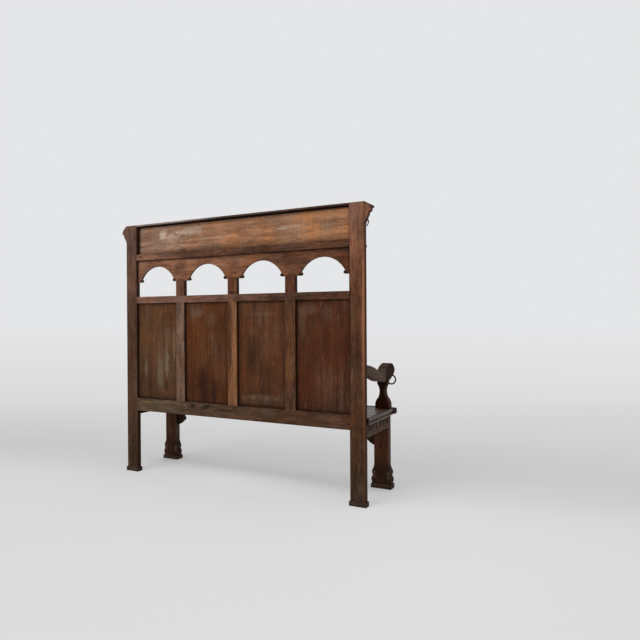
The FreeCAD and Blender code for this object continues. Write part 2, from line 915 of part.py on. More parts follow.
NOSING_SHARES = {
    # share of the roll's radius back from its centre, share of the drop below the seat
    "throat": (0.57, 0.45),
    "neck": (0.80, 0.0),
}


def seat_nosing():
    body = new_body("seat_nosing")
    radius = d.nosing_height / 2
    nosing_reach = leg_front + d.nosing_width
    centre = nosing_reach - radius
    low = d.seat_height - d.nosing_height
    place = {}
    for key, (back, drop) in NOSING_SHARES.items():
        place[key] = (centre - radius * back, seat_low - (seat_low - low) * drop)
    profile = [
        (leg_front, d.seat_height),
        (centre, d.seat_height),
        Bend((nosing_reach, d.seat_height - radius), (centre, low)),
        Bend(place["throat"], place["neck"]),
        (leg_front, seat_low),
    ]
    reach = half_width + d.seat_overhang + d.nosing_overhang
    bar = slab(body, "profile", "side", profile, reach * 2, symmetric=True)
    joint = -leg_front.value
    rounded(body, bar, d.nosing_end_round,
            lambda edge: edge.BoundBox.XLength < TOUCH and edge.CenterOfMass.y < joint - TOUCH)


# A large and a small roll with a groove between them run along each end of the seat.
UPPER_ROLL_SHARE = 0.54
LOWER_ROLL_SHARE = 0.30
SEAT_GROOVE_SHARE = 0.45


def seat_edge(name, side):
    body = new_body("seat_edge_" + name, x=side * seat_half)
    low = d.seat_height - d.seat_edge_height
    upper_roll = d.seat_edge_height * UPPER_ROLL_SHARE
    lower_roll = d.seat_edge_height * LOWER_ROLL_SHARE
    thick = d.seat_edge_thickness
    waist = thick * (1 - SEAT_GROOVE_SHARE)
    profile = [
        (0, low),
        (0, d.seat_height),
        (side * waist, d.seat_height),
        Bend((side * thick, d.seat_height - upper_roll / 2),
             (side * waist, d.seat_height - upper_roll)),
        (side * waist, low + lower_roll),
        Bend((side * thick, low + lower_roll / 2), (side * waist, low)),
    ]
    slab(body, "profile", "front", profile, leg_front - seat_back, offset=seat_back)


def seat_bearers():
    rear = new_body("seat_bearer")
    reach = inner_half - d.bearer_end_gap
    bearer_front = d.post_depth + d.bearer_thickness
    low = seat_low - d.bearer_thickness
    box(rear, "batten", (-reach, reach), (d.post_depth, bearer_front), (low, seat_low))
    bars = []
    for number in range(CROSSBEARERS):
        middle = inner_half * 2 / (CROSSBEARERS + 1) * (number + 1) - inner_half
        bar = document.addObject("Part::Box", "crossbearer_%d" % (number + 1))
        bind(bar, "Length", d.crossbearer_width)
        bind(bar, "Width", front_apron_back - bearer_front)
        bind(bar, "Height", d.bearer_thickness)
        bind(bar, "Placement.Base.x", middle - d.crossbearer_width / 2)
        bind(bar, "Placement.Base.y", back_plane - front_apron_back)
        bind(bar, "Placement.Base.z", low)
        bars.append(bar)
    gathered("seat_crossbearers", bars)


front_apron_front = leg_front - d.apron_setback
front_apron_back = front_apron_front - d.apron_thickness


# Front legs: a flat plank leg, carved at the foot with two rolls over a plinth.
LEG_ROLL_SHARES = (
    # spread share of the plinth's spread, height share of the carving
    (0.0, 1.0),
    (0.15, 0.80),
    (0.48, 0.68),
    (0.76, 0.56),
    (0.44, 0.385),
    (0.97, 0.17),
    (0.68, 0.02),
)


def leg_side(side):
    points = []
    for spread, height in LEG_ROLL_SHARES:
        rise = (d.leg_carving_height - d.foot_height) * height
        points.append((side * (d.leg_width / 2 + d.leg_foot_spread * spread), d.foot_height + rise))
    return points


def front_leg(name, side):
    body = new_body("front_leg_" + name, x=side * leg_middle)
    half = d.leg_width / 2
    top, hollow, shoulder, roll, nick, lower_roll, ankle = leg_side(1)
    outline = [
        (-half, seat_low),
        (half, seat_low),
        top,
        Bend(hollow, shoulder),
        Bend(roll, nick),
        Bend(lower_roll, ankle),
        (ankle[0], d.foot_height),
    ]
    top, hollow, shoulder, roll, nick, lower_roll, ankle = leg_side(-1)
    outline += [
        (ankle[0], d.foot_height),
        ankle,
        Bend(lower_roll, nick),
        Bend(roll, shoulder),
        Bend(hollow, top),
    ]
    slab(body, "outline", "front", outline, d.leg_depth, offset=leg_back)
    apron_middle = side * (side_apron_middle - leg_middle)
    cut_box(body, "side_mortise", about(apron_middle, d.apron_tenon_thickness),
            (leg_back - d.cut_overrun, leg_back + d.apron_tenon_length + d.fit_gap),
            (apron_tenon_low, apron_tenon_high))
    cut_box(body, "front_mortise",
            across(side, -half - d.cut_overrun, -half + d.apron_tenon_length + d.fit_gap),
            front_apron_tenon_depths(), (apron_tenon_low, apron_tenon_high))
    cut_box(body, "support_mortise",
            about(side * (post_middle - leg_middle), d.support_tenon_width + d.fit_gap * 2),
            support_tenon_depths(d.fit_gap),
            (d.seat_height - d.support_tenon_length - d.fit_gap, seat_low + d.cut_overrun))


def front_apron_tenon_depths():
    return about(front_apron_back + d.apron_thickness / 2, d.apron_tenon_thickness)


def front_foot(name, side):
    body = new_body("front_foot_" + name, x=side * leg_middle)
    reach = d.leg_width / 2 + d.leg_foot_spread
    block = box(body, "block", (-reach, reach),
                (leg_back - d.leg_foot_reach, leg_front + d.leg_foot_reach), (0, d.foot_height))
    rounded(body, block, d.foot_round, lambda edge: is_level(edge, d.foot_height.value))


# The aprons are fluted in groups above a planted moulding, with a plain rest between the groups.
def flutes(body, view_side, groups, start, length, face):
    """Upright hollows with round ends cut in the apron's face."""
    low = apron_low + d.apron_moulding_height + d.flute_margin
    high = seat_low - (d.seat_edge_height - d.seat_thickness) - d.flute_margin
    radius = d.flute_width / 2
    group_pitch = length / groups
    flute_pitch = (group_pitch - d.flute_rest) / FLUTES
    for group in range(groups):
        middle = start + group_pitch * (group * 2 + 1) / 2
        for number in range(FLUTES):
            place = middle + flute_pitch * (number - (FLUTES - 1) / 2)
            hollow = body.newObject("PartDesign::SubtractiveCylinder",
                                    "%s_flute_%d_%d" % (body.Label, group + 1, number + 1))
            bind(hollow, "Radius", radius)
            bind(hollow, "Height", high - low)
            along = -place if view_side else place
            bind(hollow, "Placement.Base.y" if view_side else "Placement.Base.x", along)
            bind(hollow, "Placement.Base.x" if view_side else "Placement.Base.y", face)
            bind(hollow, "Placement.Base.z", low)


def side_apron(name, side):
    body = new_body("side_apron_" + name, x=side * side_apron_middle)
    half = d.apron_thickness / 2
    box(body, "board", (-half, half), (d.post_depth, leg_back), (apron_low, seat_low))
    box(body, "tenons", about(as_size(0), d.apron_tenon_thickness),
        (d.post_depth - d.apron_tenon_length, leg_back + d.apron_tenon_length),
        (apron_tenon_low, apron_tenon_high))
    face = side * (half + d.flute_width / 2 - d.flute_depth)
    first_group = d.post_depth + d.flute_rest / 2
    flutes(body, True, SIDE_FLUTE_GROUPS, first_group, leg_back - d.post_depth, face)


def front_apron():
    body = new_body("front_apron")
    box(body, "board", (-leg_inner, leg_inner), (front_apron_back, front_apron_front),
        (apron_low, seat_low))
    reach = leg_inner + d.apron_tenon_length
    box(body, "tenons", (-reach, reach), front_apron_tenon_depths(),
        (apron_tenon_low, apron_tenon_high))
    face = -(front_apron_front + d.flute_width / 2 - d.flute_depth)
    flutes(body, False, FRONT_FLUTE_GROUPS, -leg_inner, leg_inner * 2, face)


APRON_MOULDING_SHARES = {
    # reach share, height share
    "fillet": (1.0, 0.30),
    "hollow": (0.45, 0.55),
    "hollow_top": (0.25, 1.0),
}


def moulding_profile(face, outward):
    """A hollow over a flat fillet; outward is +1 or -1 along the sketch's first axis."""
    place = {}
    for key, (reach, rise) in APRON_MOULDING_SHARES.items():
        place[key] = (face + outward * d.apron_moulding_reach * reach,
                      apron_low + d.apron_moulding_height * rise)
    return [
        (face, apron_low),
        (place["fillet"][0], apron_low),
        place["fillet"],
        Bend(place["hollow"], place["hollow_top"]),
        (face, apron_low + d.apron_moulding_height),
    ]


def apron_mouldings():
    body = new_body("front_apron_moulding")
    profile = moulding_profile(front_apron_front, 1)
    slab(body, "profile", "side", profile, leg_inner * 2, symmetric=True)
    for name, side in SIDES.items():
        body = new_body("side_apron_moulding_" + name, x=side * (leg_outer - d.apron_setback))
        profile = moulding_profile(as_size(0), side)
        slab(body, "profile", "front", profile, leg_back - d.post_depth, offset=d.post_depth)


# Scrolled brackets under the front apron.
BRACKET_SHARES = {
    # width share, height share
    "belly": (0.42, 0.09),
    "belly_end": (0.78, 0.26),
    "roll": (1.0, 0.40),
    "roll_end": (0.88, 0.52),
    "hollow": (0.85, 0.78),
    "toe": (1.0, 1.0),
}


def apron_bracket(name, side):
    body = new_body("apron_bracket_" + name, x=side * leg_inner)
    place = {}
    for key, (width, rise) in BRACKET_SHARES.items():
        place[key] = (-side * d.bracket_width * width, bracket_low + d.bracket_height * rise)
    outline = [
        (0, bracket_low),
        Bend(place["belly"], place["belly_end"]),
        Bend(place["roll"], place["roll_end"]),
        Bend(place["hollow"], place["toe"]),
        (0, apron_low),
    ]
    middle = front_apron_back + d.apron_thickness / 2
    slab(body, "outline", "front", outline, d.bracket_thickness,
         offset=middle - d.bracket_thickness / 2)


# Arm supports: flat balusters cut from a plank, tenoned through the seat into the legs.
SUPPORT_SHARES = {
    # share of the way out from the neck, height share
    "shoulder": (1.0, 0.14),
    "bulge": (0.83, 0.27),
    "waist": (0.42, 0.38),
    "neck": (0.0, 0.60),
    "flare": (0.45, 0.82),
    "capital": (1.0, 0.90),
}


def arm_support(name, side):
    body = new_body("arm_support_" + name, x=side * post_middle)
    base = d.support_width / 2
    capital = d.support_capital / 2

    def flank(sign):
        place = {}
        widest = base
        for key, (outward, rise) in SUPPORT_SHARES.items():
            neck = d.support_neck / 2
            place[key] = (sign * (neck + (widest - neck) * outward),
                          d.seat_height + d.support_height * rise)
            if key == "neck":
                widest = capital
        return [
            (sign * base, d.seat_height),
            place["shoulder"],
            Bend(place["bulge"], place["waist"]),
            Bend(place["neck"], place["flare"]),
            place["capital"],
            (sign * capital, arm_low),
        ]

    right = flank(1)
    base_corner, shoulder, bulge_bend, waist_bend, capital_low, capital_top = flank(-1)
    outline = right + [
        capital_top,
        capital_low,
        waist_bend.end,
        Bend(waist_bend.middle, bulge_bend.end),
        Bend(bulge_bend.middle, shoulder),
        base_corner,
    ]
    slab(body, "outline", "front", outline, d.support_depth, offset=support_back)
    box(body, "seat_tenon", about(as_size(0), d.support_tenon_width), support_tenon_depths(),
        (d.seat_height - d.support_tenon_length, d.seat_height + d.cut_overrun))
    box(body, "arm_tenon", about(as_size(0), d.support_tenon_width),
        about(support_middle, d.support_tenon_thickness),
        (arm_low - d.cut_overrun, arm_low + d.support_top_tenon_length))


# Arms: a plank cut to a long falling curve that rises again to a scroll.
ARM_SHARES = {
    # length share from the post, height share above the underside at the support
    "rear_top": (0.0, 1.0),
    "slope": (0.20, 0.90),
    "slope_end": (0.42, 0.64),
    "dip": (0.57, 0.51),
    "rise": (0.684, 0.58),
    "brow": (0.75, 0.73),
    "crown": (0.835, 0.82),
    "forehead": (0.941, 0.735),
    "tip": (1.0, 0.49),
    "chin": (0.981, 0.33),
    "throat": (0.926, 0.20),
    "jaw": (0.871, 0.085),
    "bearing_front": (0.805, 0.0),
    "bearing_back": (0.664, 0.0),
    "belly": (0.50, 0.075),
    "belly_rear": (0.34, 0.27),
    "hollow": (0.17, 0.50),
    "rear_low": (0.0, 0.57),
}


def arm(name, side):
    body = new_body("arm_" + name, x=side * post_middle)
    length = arm_front - d.post_depth
    height = arm_rear_top - arm_low
    place = {}
    for key, (along, up) in ARM_SHARES.items():
        place[key] = (d.post_depth + length * along, arm_low + height * up)
    outline = [
        place["rear_low"],
        place["rear_top"],
        Bend(place["slope"], place["slope_end"]),
        Bend(place["dip"], place["rise"]),
        Bend(place["brow"], place["crown"]),
        Bend(place["forehead"], place["tip"]),
        Bend(place["chin"], place["throat"]),
        Bend(place["jaw"], place["bearing_front"]),
        place["bearing_back"],
        Bend(place["belly"], place["belly_rear"]),
        Bend(place["hollow"], place["rear_low"]),
    ]
    slab(body, "outline", "side", outline, d.arm_width, symmetric=True)
    box(body, "tenon", about(as_size(0), d.arm_tenon_width),
        (d.post_depth - d.arm_tenon_length, d.post_depth + d.cut_overrun),
        (arm_tenon_low, arm_tenon_high))
    cut_box(body, "support_mortise", about(as_size(0), d.support_tenon_width),
            about(support_middle, d.support_tenon_thickness),
            (arm_low - d.cut_overrun, arm_low + d.support_top_tenon_length + d.fit_gap))
    shank_hole(body, arm_ring_hinge, arm_chin_depth)


arm_chin_depth = d.post_depth + (arm_front - d.post_depth) * ARM_SHARES["throat"][0]


for side_name, side_sign in SIDES.items():
    rear_post(side_name, side_sign)
    rear_foot(side_name, side_sign)
    post_bead(side_name, side_sign)
    console(side_name, side_sign)
    seat_edge(side_name, side_sign)
    front_leg(side_name, side_sign)
    front_foot(side_name, side_sign)
    side_apron(side_name, side_sign)
    apron_bracket(side_name, side_sign)
    arm_support(side_name, side_sign)
    arm(side_name, side_sign)
    staple("arm_staple_" + side_name, side_sign * post_middle, arm_ring_plane,
           arm_ring_hinge, d.arm_ring_wire, arm_chin_depth)
    ring("arm_ring_" + side_name, side_sign * post_middle, arm_ring_plane,
         arm_ring_hinge, d.arm_ring_diameter, d.arm_ring_wire)
    staple("cornice_staple_" + side_name, side_sign * post_middle, cornice_ring_plane,
           cornice_ring_hinge, d.cornice_ring_wire, console_nose_depth)
    ring("cornice_ring_" + side_name, side_sign * post_middle, cornice_ring_plane,
         cornice_ring_hinge, d.cornice_ring_diameter, d.cornice_ring_wire)
bottom_rail()
mid_rail()
upper_rail()
frame_pegs()
muntins()
columns()
back_panels()
arcade_board()
frieze_panel()
top_board()
cornice_moulding()
seat_boards()
seat_nosing()
seat_bearers()
front_apron()
apron_mouldings()

document.recompute()
faults = []
for thing in document.Objects:
    if "Invalid" in thing.State or "Error" in thing.State:
        faults.append("%s is %s" % (thing.Label, thing.State))
for part in parts:
    if part.Shape.isNull() or not part.Shape.isValid():
        faults.append("%s has no valid shape" % part.Label)
if faults:
    raise RuntimeError("; ".join(faults))

os.makedirs("parts", exist_ok=True)
for part in parts:
    part.Shape.exportStep("parts/%s.step" % part.Label)
    print("%-28s solids %d volume %.0f" % (part.Label, len(part.Shape.Solids), part.Shape.Volume))
print("pieces", len(parts))
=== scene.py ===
# %% [markdown]
# # A high back bench of dark oak
# The bench comes ready from its construction file as a frame of named pieces, in metres, with its
# front towards -Y and the floor at Z = 0. Its shapes and places are never changed here. This
# lesson gives each piece its finish, plants one small carving, and sets up a pale studio with the
# camera behind the bench, where the photograph was taken from.

import math

import bmesh
import bpy
from mathutils import Matrix, Vector


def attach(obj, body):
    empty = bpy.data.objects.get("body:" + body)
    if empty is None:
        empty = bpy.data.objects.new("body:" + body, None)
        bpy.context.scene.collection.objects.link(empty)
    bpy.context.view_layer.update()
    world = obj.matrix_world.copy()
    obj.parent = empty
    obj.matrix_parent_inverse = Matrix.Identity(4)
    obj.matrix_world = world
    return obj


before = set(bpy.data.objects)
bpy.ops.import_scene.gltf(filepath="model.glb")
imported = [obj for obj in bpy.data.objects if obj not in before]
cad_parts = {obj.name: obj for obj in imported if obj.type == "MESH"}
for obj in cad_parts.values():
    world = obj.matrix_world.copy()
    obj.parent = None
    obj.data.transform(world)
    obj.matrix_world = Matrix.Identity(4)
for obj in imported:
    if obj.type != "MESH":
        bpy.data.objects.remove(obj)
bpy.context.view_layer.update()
scene = bpy.context.scene
print("nodes in the frame:", len(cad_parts))

# %% [markdown]
# ## Colours as they look
# A finish is matched against a picture, where colours run from 0 to 255 on a screen. Blender
# calculates with linear light, so each screen colour is turned into light first. Typing linear
# values by hand would work as well, but then no one could compare them with what they see.


# %% Screen colours
def linear(red, green, blue):
    """A screen colour from 0 to 255 as linear light with full alpha."""
    steps = [value / 255 for value in (red, green, blue)]
    light = [step / 12.92 if step <= 0.04045 else ((step + 0.055) / 1.055) ** 2.4 for step in steps]
    return (*light, 1.0)


print("middle grey as light:", round(linear(128, 128, 128)[0], 3))

# %% [markdown]
# ## A finish as a chain of nodes
# Real wood and iron are never one flat colour. In Blender such a surface can be a photograph laid
# on the mesh or a chain of shader nodes. Nodes are chosen here: they need no picture, stay sharp
# at any distance, and run through the whole bench without seams, because they read the place of
# each point on the bench. The class adds a node and wires it in one line.


# %% The finish class
class Finish:
    """One material under construction."""

    def __init__(self, name):
        self.material = bpy.data.materials.new(name)
        self.material.use_nodes = True
        self.tree = self.material.node_tree
        self.tree.nodes.clear()
        self.place = self.add("ShaderNodeTexCoord").outputs["Object"]

    def add(self, kind, inputs=None, **settings):
        node = self.tree.nodes.new(kind)
        for key, value in settings.items():
            setattr(node, key, value)
        for key, value in (inputs or {}).items():
            self.feed(node.inputs[key], value)
        return node

    def feed(self, socket, value):
        """Links a socket, or sets its constant."""
        if isinstance(value, bpy.types.NodeSocket):
            self.tree.links.new(value, socket)
        else:
            socket.default_value = value

    def math(self, operation, *values, clamp=False):
        node = self.add("ShaderNodeMath", operation=operation, use_clamp=clamp)
        for number, value in enumerate(values):
            self.feed(node.inputs[number], value)
        return node.outputs[0]

    def vector(self, operation, *values):
        node = self.add("ShaderNodeVectorMath", operation=operation)
        for number, value in enumerate(values):
            self.feed(node.inputs[number], value)
        gives_number = operation in ("DISTANCE", "LENGTH", "DOT_PRODUCT")
        return node.outputs["Value" if gives_number else "Vector"]

    def part_of(self, vector, letter):
        return self.add("ShaderNodeSeparateXYZ", {"Vector": vector}).outputs[letter]

    def axis(self, letter):
        """The place on the bench along X, Y or Z, in metres."""
        return self.part_of(self.place, letter)

    def normal(self):
        """The direction that the face of the mesh looks in."""
        return self.add("ShaderNodeNewGeometry").outputs["Normal"]

    def noise(self, place, scale, detail, roughness, distortion=0.0):
        inputs = {"Vector": place, "Scale": scale, "Detail": detail,
                  "Roughness": roughness, "Distortion": distortion}
        return self.add("ShaderNodeTexNoise", inputs).outputs["Fac"]

    def between(self, value, low, high, start=0.0, end=1.0):
        """Maps low..high to start..end and clamps."""
        inputs = {"Value": value, "From Min": low, "From Max": high, "To Min": start, "To Max": end}
        return self.add("ShaderNodeMapRange", inputs, clamp=True).outputs[0]

    def mix(self, share, first, second, blend="MIX"):
        """Colours are sockets 6 and 7 of the mix node, and the result is output 2."""
        colours = {0: share, 6: first, 7: second}
        return self.add("ShaderNodeMix", colours, data_type="RGBA", blend_type=blend).outputs[2]

    def ramp(self, value, stops):
        node = self.add("ShaderNodeValToRGB", {"Fac": value})
        ramp = node.color_ramp
        while len(ramp.elements) < len(stops):
            ramp.elements.new(1.0)
        for element, (position, colour) in zip(ramp.elements, stops):
            element.position = position
            element.color = colour
        return node.outputs["Color"]

    def surface(self, colour, roughness, normal, **fixed):
        inputs = {"Base Color": colour, "Roughness": roughness, "Normal": normal}
        shader = self.add("ShaderNodeBsdfPrincipled", inputs)
        for key, value in fixed.items():
            shader.inputs[key.replace("_", " ")].default_value = value
        self.add("ShaderNodeOutputMaterial", {"Surface": shader.outputs[0]})


print("the finish class is ready")

# %% [markdown]
# ## The grain of oak
# Oak shows fine fibre and short dark pores along the board, and broad bands where the growth
# rings come to the surface. A noise that is squeezed along one axis turns into long streaks, so a
# few noises of different size, read in stretched places, make the whole grain. One large picture
# of wood would repeat from board to board. Here a seed shifts each piece to a place of its own.

# %% Patterns of the wood
LONG_STREAKS = {"x": (0.05, 1.0, 1.0), "y": (1.0, 0.004, 1.0), "z": (1.0, 1.0, 0.05)}
SHORT_STREAKS = {"x": (0.16, 1.0, 1.0), "y": (1.0, 0.16, 1.0), "z": (1.0, 1.0, 0.16)}
WOOD_NOISES = {
    # the place it reads, scale, detail, roughness, distortion, and a shift where it has one
    "cloud": ("even", 3.4, 5.0, 0.62, 0.0),
    "warmth": ("even", 7.0, 4.0, 0.6, 0.4),
    "fine": ("even", 110.0, 3.0, 0.7, 0.0),
    "blotch": ("even", 26.0, 6.0, 0.75, 0.5),
    "saw_patches": ("even", 5.5, 3.0, 0.6, 0.0),
    "stain": ("even", 4.6, 6.0, 0.68, 0.6, (2.0, 7.0, 4.0)),
    "dust_patches": ("even", 2.6, 5.0, 0.6, 0.4, (9.0, 5.0, 2.0)),
    "streaks": ("long", 42.0, 5.0, 0.66, 0.35),
    "fibre": ("long", 330.0, 3.0, 0.65, 0.0),
    "rings": ("long", 6.5, 2.0, 0.5, 0.5),
    "pores": ("long", 700.0, 2.0, 0.5, 0.0),
    "dusting": ("long", 30.0, 6.0, 0.7, 0.4, (4.0, 1.0, 2.0)),
    "mottle": ("short", 30.0, 5.0, 0.72, 0.3),
    "lines": ("short", 105.0, 3.0, 0.7, 0.2),
    "nicks": ("short", 70.0, 4.0, 0.75, 0.8),
}


class Wood(Finish):
    """A finish that can read noises evenly, or stretched along the grain."""

    def __init__(self, name, grain, seed):
        super().__init__(name)
        self.grain = grain
        moved = self.vector("ADD", self.place, (seed * 1.37, seed * 0.71 + 3.0, seed * 2.13))
        self.places = {
            "even": moved,
            "long": self.vector("MULTIPLY", moved, LONG_STREAKS[grain]),
            "short": self.vector("MULTIPLY", moved, SHORT_STREAKS[grain]),
        }
        self.made = {}

    def pattern(self, name):
        """A noise of the list above, made when it is first asked for."""
        if name not in self.made:
            kind, scale, detail, roughness, distortion, *shift = WOOD_NOISES[name]
            place = self.places[kind]
            if shift:
                place = self.vector("ADD", place, shift[0])
            self.made[name] = self.noise(place, scale, detail, roughness, distortion)
        return self.made[name]

    def times(self, first, second):
        return self.math("MULTIPLY", first, second)


print("noises of the wood:", len(WOOD_NOISES))

# %% [markdown]
# ## The tone of a board
# Old boards are darker at one end than at the other, from damp, hands and light. Here the tones
# also carry painted light: posts and panels are lighter at the top and the boards towards +X,
# partly in their own tone and partly where more light falls. The tone is given as a few places
# along the piece with a screen colour at each, and a colour ramp blends them. Large clouds shift
# the ramp to and fro, so that no blend shows a straight border. Cool and warm patches are
# multiplied over it, because stain never takes evenly.


# %% Tones along a piece
def tone_along(wood, axis, tones, drift):
    """The base colour from a list of (place in metres, screen colour)."""
    places = [place for place, colour in tones]
    low, high = min(places), max(places)
    if high == low:
        return linear(*tones[0][1])
    cloud = wood.math("SUBTRACT", wood.pattern("cloud"), 0.5)
    shifted = wood.math("ADD", wood.axis(axis.upper()), wood.times(cloud, (high - low) * drift))
    stops = [((place - low) / (high - low), linear(*colour)) for place, colour in sorted(tones)]
    return wood.ramp(wood.between(shifted, low, high), stops)


COOL_TINT = (0.90, 0.97, 1.06, 1.0)
WARM_TINT = (1.12, 1.0, 0.84, 1.0)


def warm_and_cool(wood, colour):
    tint = wood.mix(wood.between(wood.pattern("warmth"), 0.38, 0.62), COOL_TINT, WARM_TINT)
    return wood.mix(1.0, colour, tint, "MULTIPLY")


print("tones are ready")

# %% [markdown]
# ## Light and dark of the grain
# Each pattern makes the wood a little lighter or darker than its tone. They are multiplied into
# one number, as thin layers of varnish would darken one after the other. The rough boards at the
# back also keep the marks of a straight saw, fine stripes across the grain. A sine wave along the
# board makes them, bent by the clouds and shown only in patches and on the face that looks back.

# %% Grain and saw marks
SAW_PITCH = 0.0165
SAW_BEND = 9.0
SAW_DEPTH = 0.17
RING_WAVE = 80.0


def saw_marks(wood, sawn):
    along = wood.times(wood.axis(wood.grain.upper()), 2 * math.pi / SAW_PITCH)
    bent = wood.math("ADD", along, wood.times(wood.pattern("cloud"), SAW_BEND))
    stripes = wood.math("SINE", bent)
    shown = wood.between(wood.pattern("saw_patches"), 0.42, 0.6)
    behind = wood.between(wood.part_of(wood.normal(), "Y"), 0.2, 0.6)
    swing = wood.times(wood.times(stripes, wood.times(shown, behind)), SAW_DEPTH * sawn)
    return wood.math("ADD", swing, 1.0)


def grain_shade(wood, figure, lively, sawn):
    """Lighter and darker than the tone: each pattern with its range and its swing about 1."""
    rings = wood.math("SINE", wood.times(wood.pattern("rings"), RING_WAVE))
    pores = wood.between(wood.pattern("pores"), 0.58, 0.68)
    layers = (
        (wood.pattern("streaks"), 0.34, 0.66, 0.20),
        (rings, -1.0, 1.0, 0.08 * figure),
        (wood.pattern("mottle"), 0.38, 0.62, 0.22 * lively),
        (wood.pattern("fibre"), 0.3, 0.7, 0.12),
        (wood.pattern("lines"), 0.38, 0.62, 0.20 * lively),
        (wood.pattern("fine"), 0.36, 0.64, 0.14),
        (pores, 1.0, 0.0, 0.20),
    )
    depth = wood.between(wood.pattern("cloud"), 0.32, 0.68, 0.80, 1.20)
    for value, low, high, swing in layers:
        depth = wood.times(depth, wood.between(value, low, high, 1.0 - swing, 1.0 + swing))
    if sawn:
        depth = wood.times(depth, saw_marks(wood, sawn))
    return wood.add("ShaderNodeCombineXYZ", {"X": depth, "Y": depth, "Z": depth}).outputs[0], pores


print("saw marks per metre:", round(1 / SAW_PITCH))

# %% [markdown]
# ## Stain, dust and nicks
# Long use leaves dark stains, pale dust that clings to the fibre, and small nicks, black where
# dirt fills them and light where fresh wood shows. All of them are a noise cut off at a level:
# only its peaks are covered, so the share of the surface is set by that level. Wear could also be
# painted by hand, but a cut noise covers every piece at once and can be made stronger or weaker.

# %% Stain, dust and nicks
STAIN_BROWN = linear(38, 25, 18)
DUST_GREY = linear(150, 128, 112)
NICK_DIRT = linear(24, 15, 11)
FRESH_WOOD = linear(166, 128, 98)


def dust_cover(wood):
    clings = wood.between(wood.pattern("dusting"), 0.42, 0.66)
    return wood.times(clings, wood.between(wood.pattern("dust_patches"), 0.48, 0.62))


def weathered(wood, colour, stained, dusty, dust):
    stain = wood.between(wood.pattern("stain"), 0.54, 0.66)
    colour = wood.mix(wood.times(stain, stained), colour, STAIN_BROWN)
    colour = wood.mix(wood.times(dust, dusty), colour, DUST_GREY)
    colour = wood.mix(wood.between(wood.pattern("nicks"), 0.60, 0.70, 0.0, 0.60), colour, NICK_DIRT)
    return wood.mix(wood.between(wood.pattern("nicks"), 0.40, 0.30, 0.0, 0.30), colour, FRESH_WOOD)


print("weathering is ready")

# %% [markdown]
# ## Single marks
# The back has marks of its own: pale wash on the frieze, knots, damp, and painted light and shade:
# a highlight along an arris, a shadow under the top board and shade at the ends of the arcade's
# nibs. Each is an oval at a measured place, and a noise tears its rim, as no real stain has a
# clean one. The oval is very thin in depth, so that a mark stays on the back and doesn't show on
# the front. Painting them would need a picture; a short list of places can be read and changed.

# %% Marks at a place
MARK_DEPTH = 0.004
DEFAULT_RIM = (1.4, 0.5)
SOFT_RIM = 0.35


def marks(face, rows):
    """Rows of x, z, half width, half height, tint, strength, and perhaps ragged and soft."""
    return [((x, face, z), (wide, MARK_DEPTH, high), tint, strength, *rim)
            for x, z, wide, high, tint, strength, *rim in rows]


def marked(wood, colour, spots):
    torn = wood.math("ADD", wood.times(wood.pattern("dusting"), 0.3),
                     wood.times(wood.pattern("blotch"), 0.7))
    centred = wood.math("SUBTRACT", torn, 0.5)
    for middle, size, tint, strength, *rim in spots:
        ragged, soft = rim or DEFAULT_RIM
        offset = wood.vector("DIVIDE", wood.vector("SUBTRACT", wood.place, middle), size)
        reach = wood.math("ADD", wood.vector("LENGTH", offset), wood.times(centred, ragged))
        cover = wood.times(wood.between(reach, 1.0 - soft, 1.0 + soft * 0.5, 1.0, 0.0), strength)
        if soft > SOFT_RIM:
            cover = wood.times(cover, wood.between(wood.pattern("dusting"), 0.40, 0.60, 0.25, 1.0))
        colour = wood.mix(cover, colour, linear(*tint))
    return colour


print("marks are ready")

# %% [markdown]
# ## Edges, hollows and relief
# Hands and cloths rub the arrises pale, and the corners are darkened. The bevel node gives the
# normal that a rounded edge would have, so where it differs from the flat normal there is an
# edge. The ambient occlusion node tells how shut in a point is, which finds the corners to darken.
# Both read the mesh itself, and every edge of every piece gets its wear without marking any.

# %% Wear and relief
EDGE_ROUND = 0.0022
RUBBED_WOOD = linear(140, 88, 54)
CORNER_DARK = linear(17, 11, 8)
RELIEF_DEPTH = 0.0009


def painted_side_light(wood, colour, tint, strength):
    """Painted light and shade: another colour on the faces that don't look forwards or back."""
    facing = wood.math("ABSOLUTE", wood.part_of(wood.normal(), "Y"))
    return wood.mix(wood.between(facing, 0.3, 0.8, strength, 0.0), colour, linear(*tint))


def worn_and_darkened(wood, colour, rounded, worn, corner_reach):
    edge = wood.between(wood.vector("DISTANCE", rounded, wood.normal()), 0.12, 0.5)
    rubbed = wood.times(edge, wood.between(wood.pattern("streaks"), 0.38, 0.58))
    colour = wood.mix(wood.times(rubbed, worn), colour, RUBBED_WOOD)
    # darkens the corners that the occlusion node finds
    hollow = wood.add("ShaderNodeAmbientOcclusion", {"Distance": corner_reach}, samples=6).outputs["AO"]
    return wood.mix(wood.between(hollow, 0.3, 0.92, 0.78, 0.0), colour, CORNER_DARK)


def grain_relief(wood, rounded, pores):
    """Fibre stands out a little and pores lie deeper."""
    relief = wood.math("ADD", wood.times(wood.pattern("streaks"), 0.6),
                       wood.times(wood.pattern("fibre"), 0.4))
    relief = wood.math("SUBTRACT", relief, wood.times(pores, 0.7))
    relief = wood.math("ADD", relief, wood.times(wood.pattern("fine"), 0.5))
    inputs = {"Height": relief, "Normal": rounded, "Strength": 0.4, "Distance": RELIEF_DEPTH}
    return wood.add("ShaderNodeBump", inputs).outputs[0]


print("wear and relief are ready")

# %% [markdown]
# ## The oak finish
# Everything above comes together in one function, in the order in which it came to the real
# wood: its own tone and grain, then stain, dust and marks, then wear on the edges, and the
# darkened corners last.
# One function with a few settings keeps the pieces alike, as they come from the same oak, and
# still lets each piece have its own tone and seed.

# %% Oak
# painted shade for faces that look sideways, up or down
SIDE_SHADE_BROWN = (26, 15, 10)


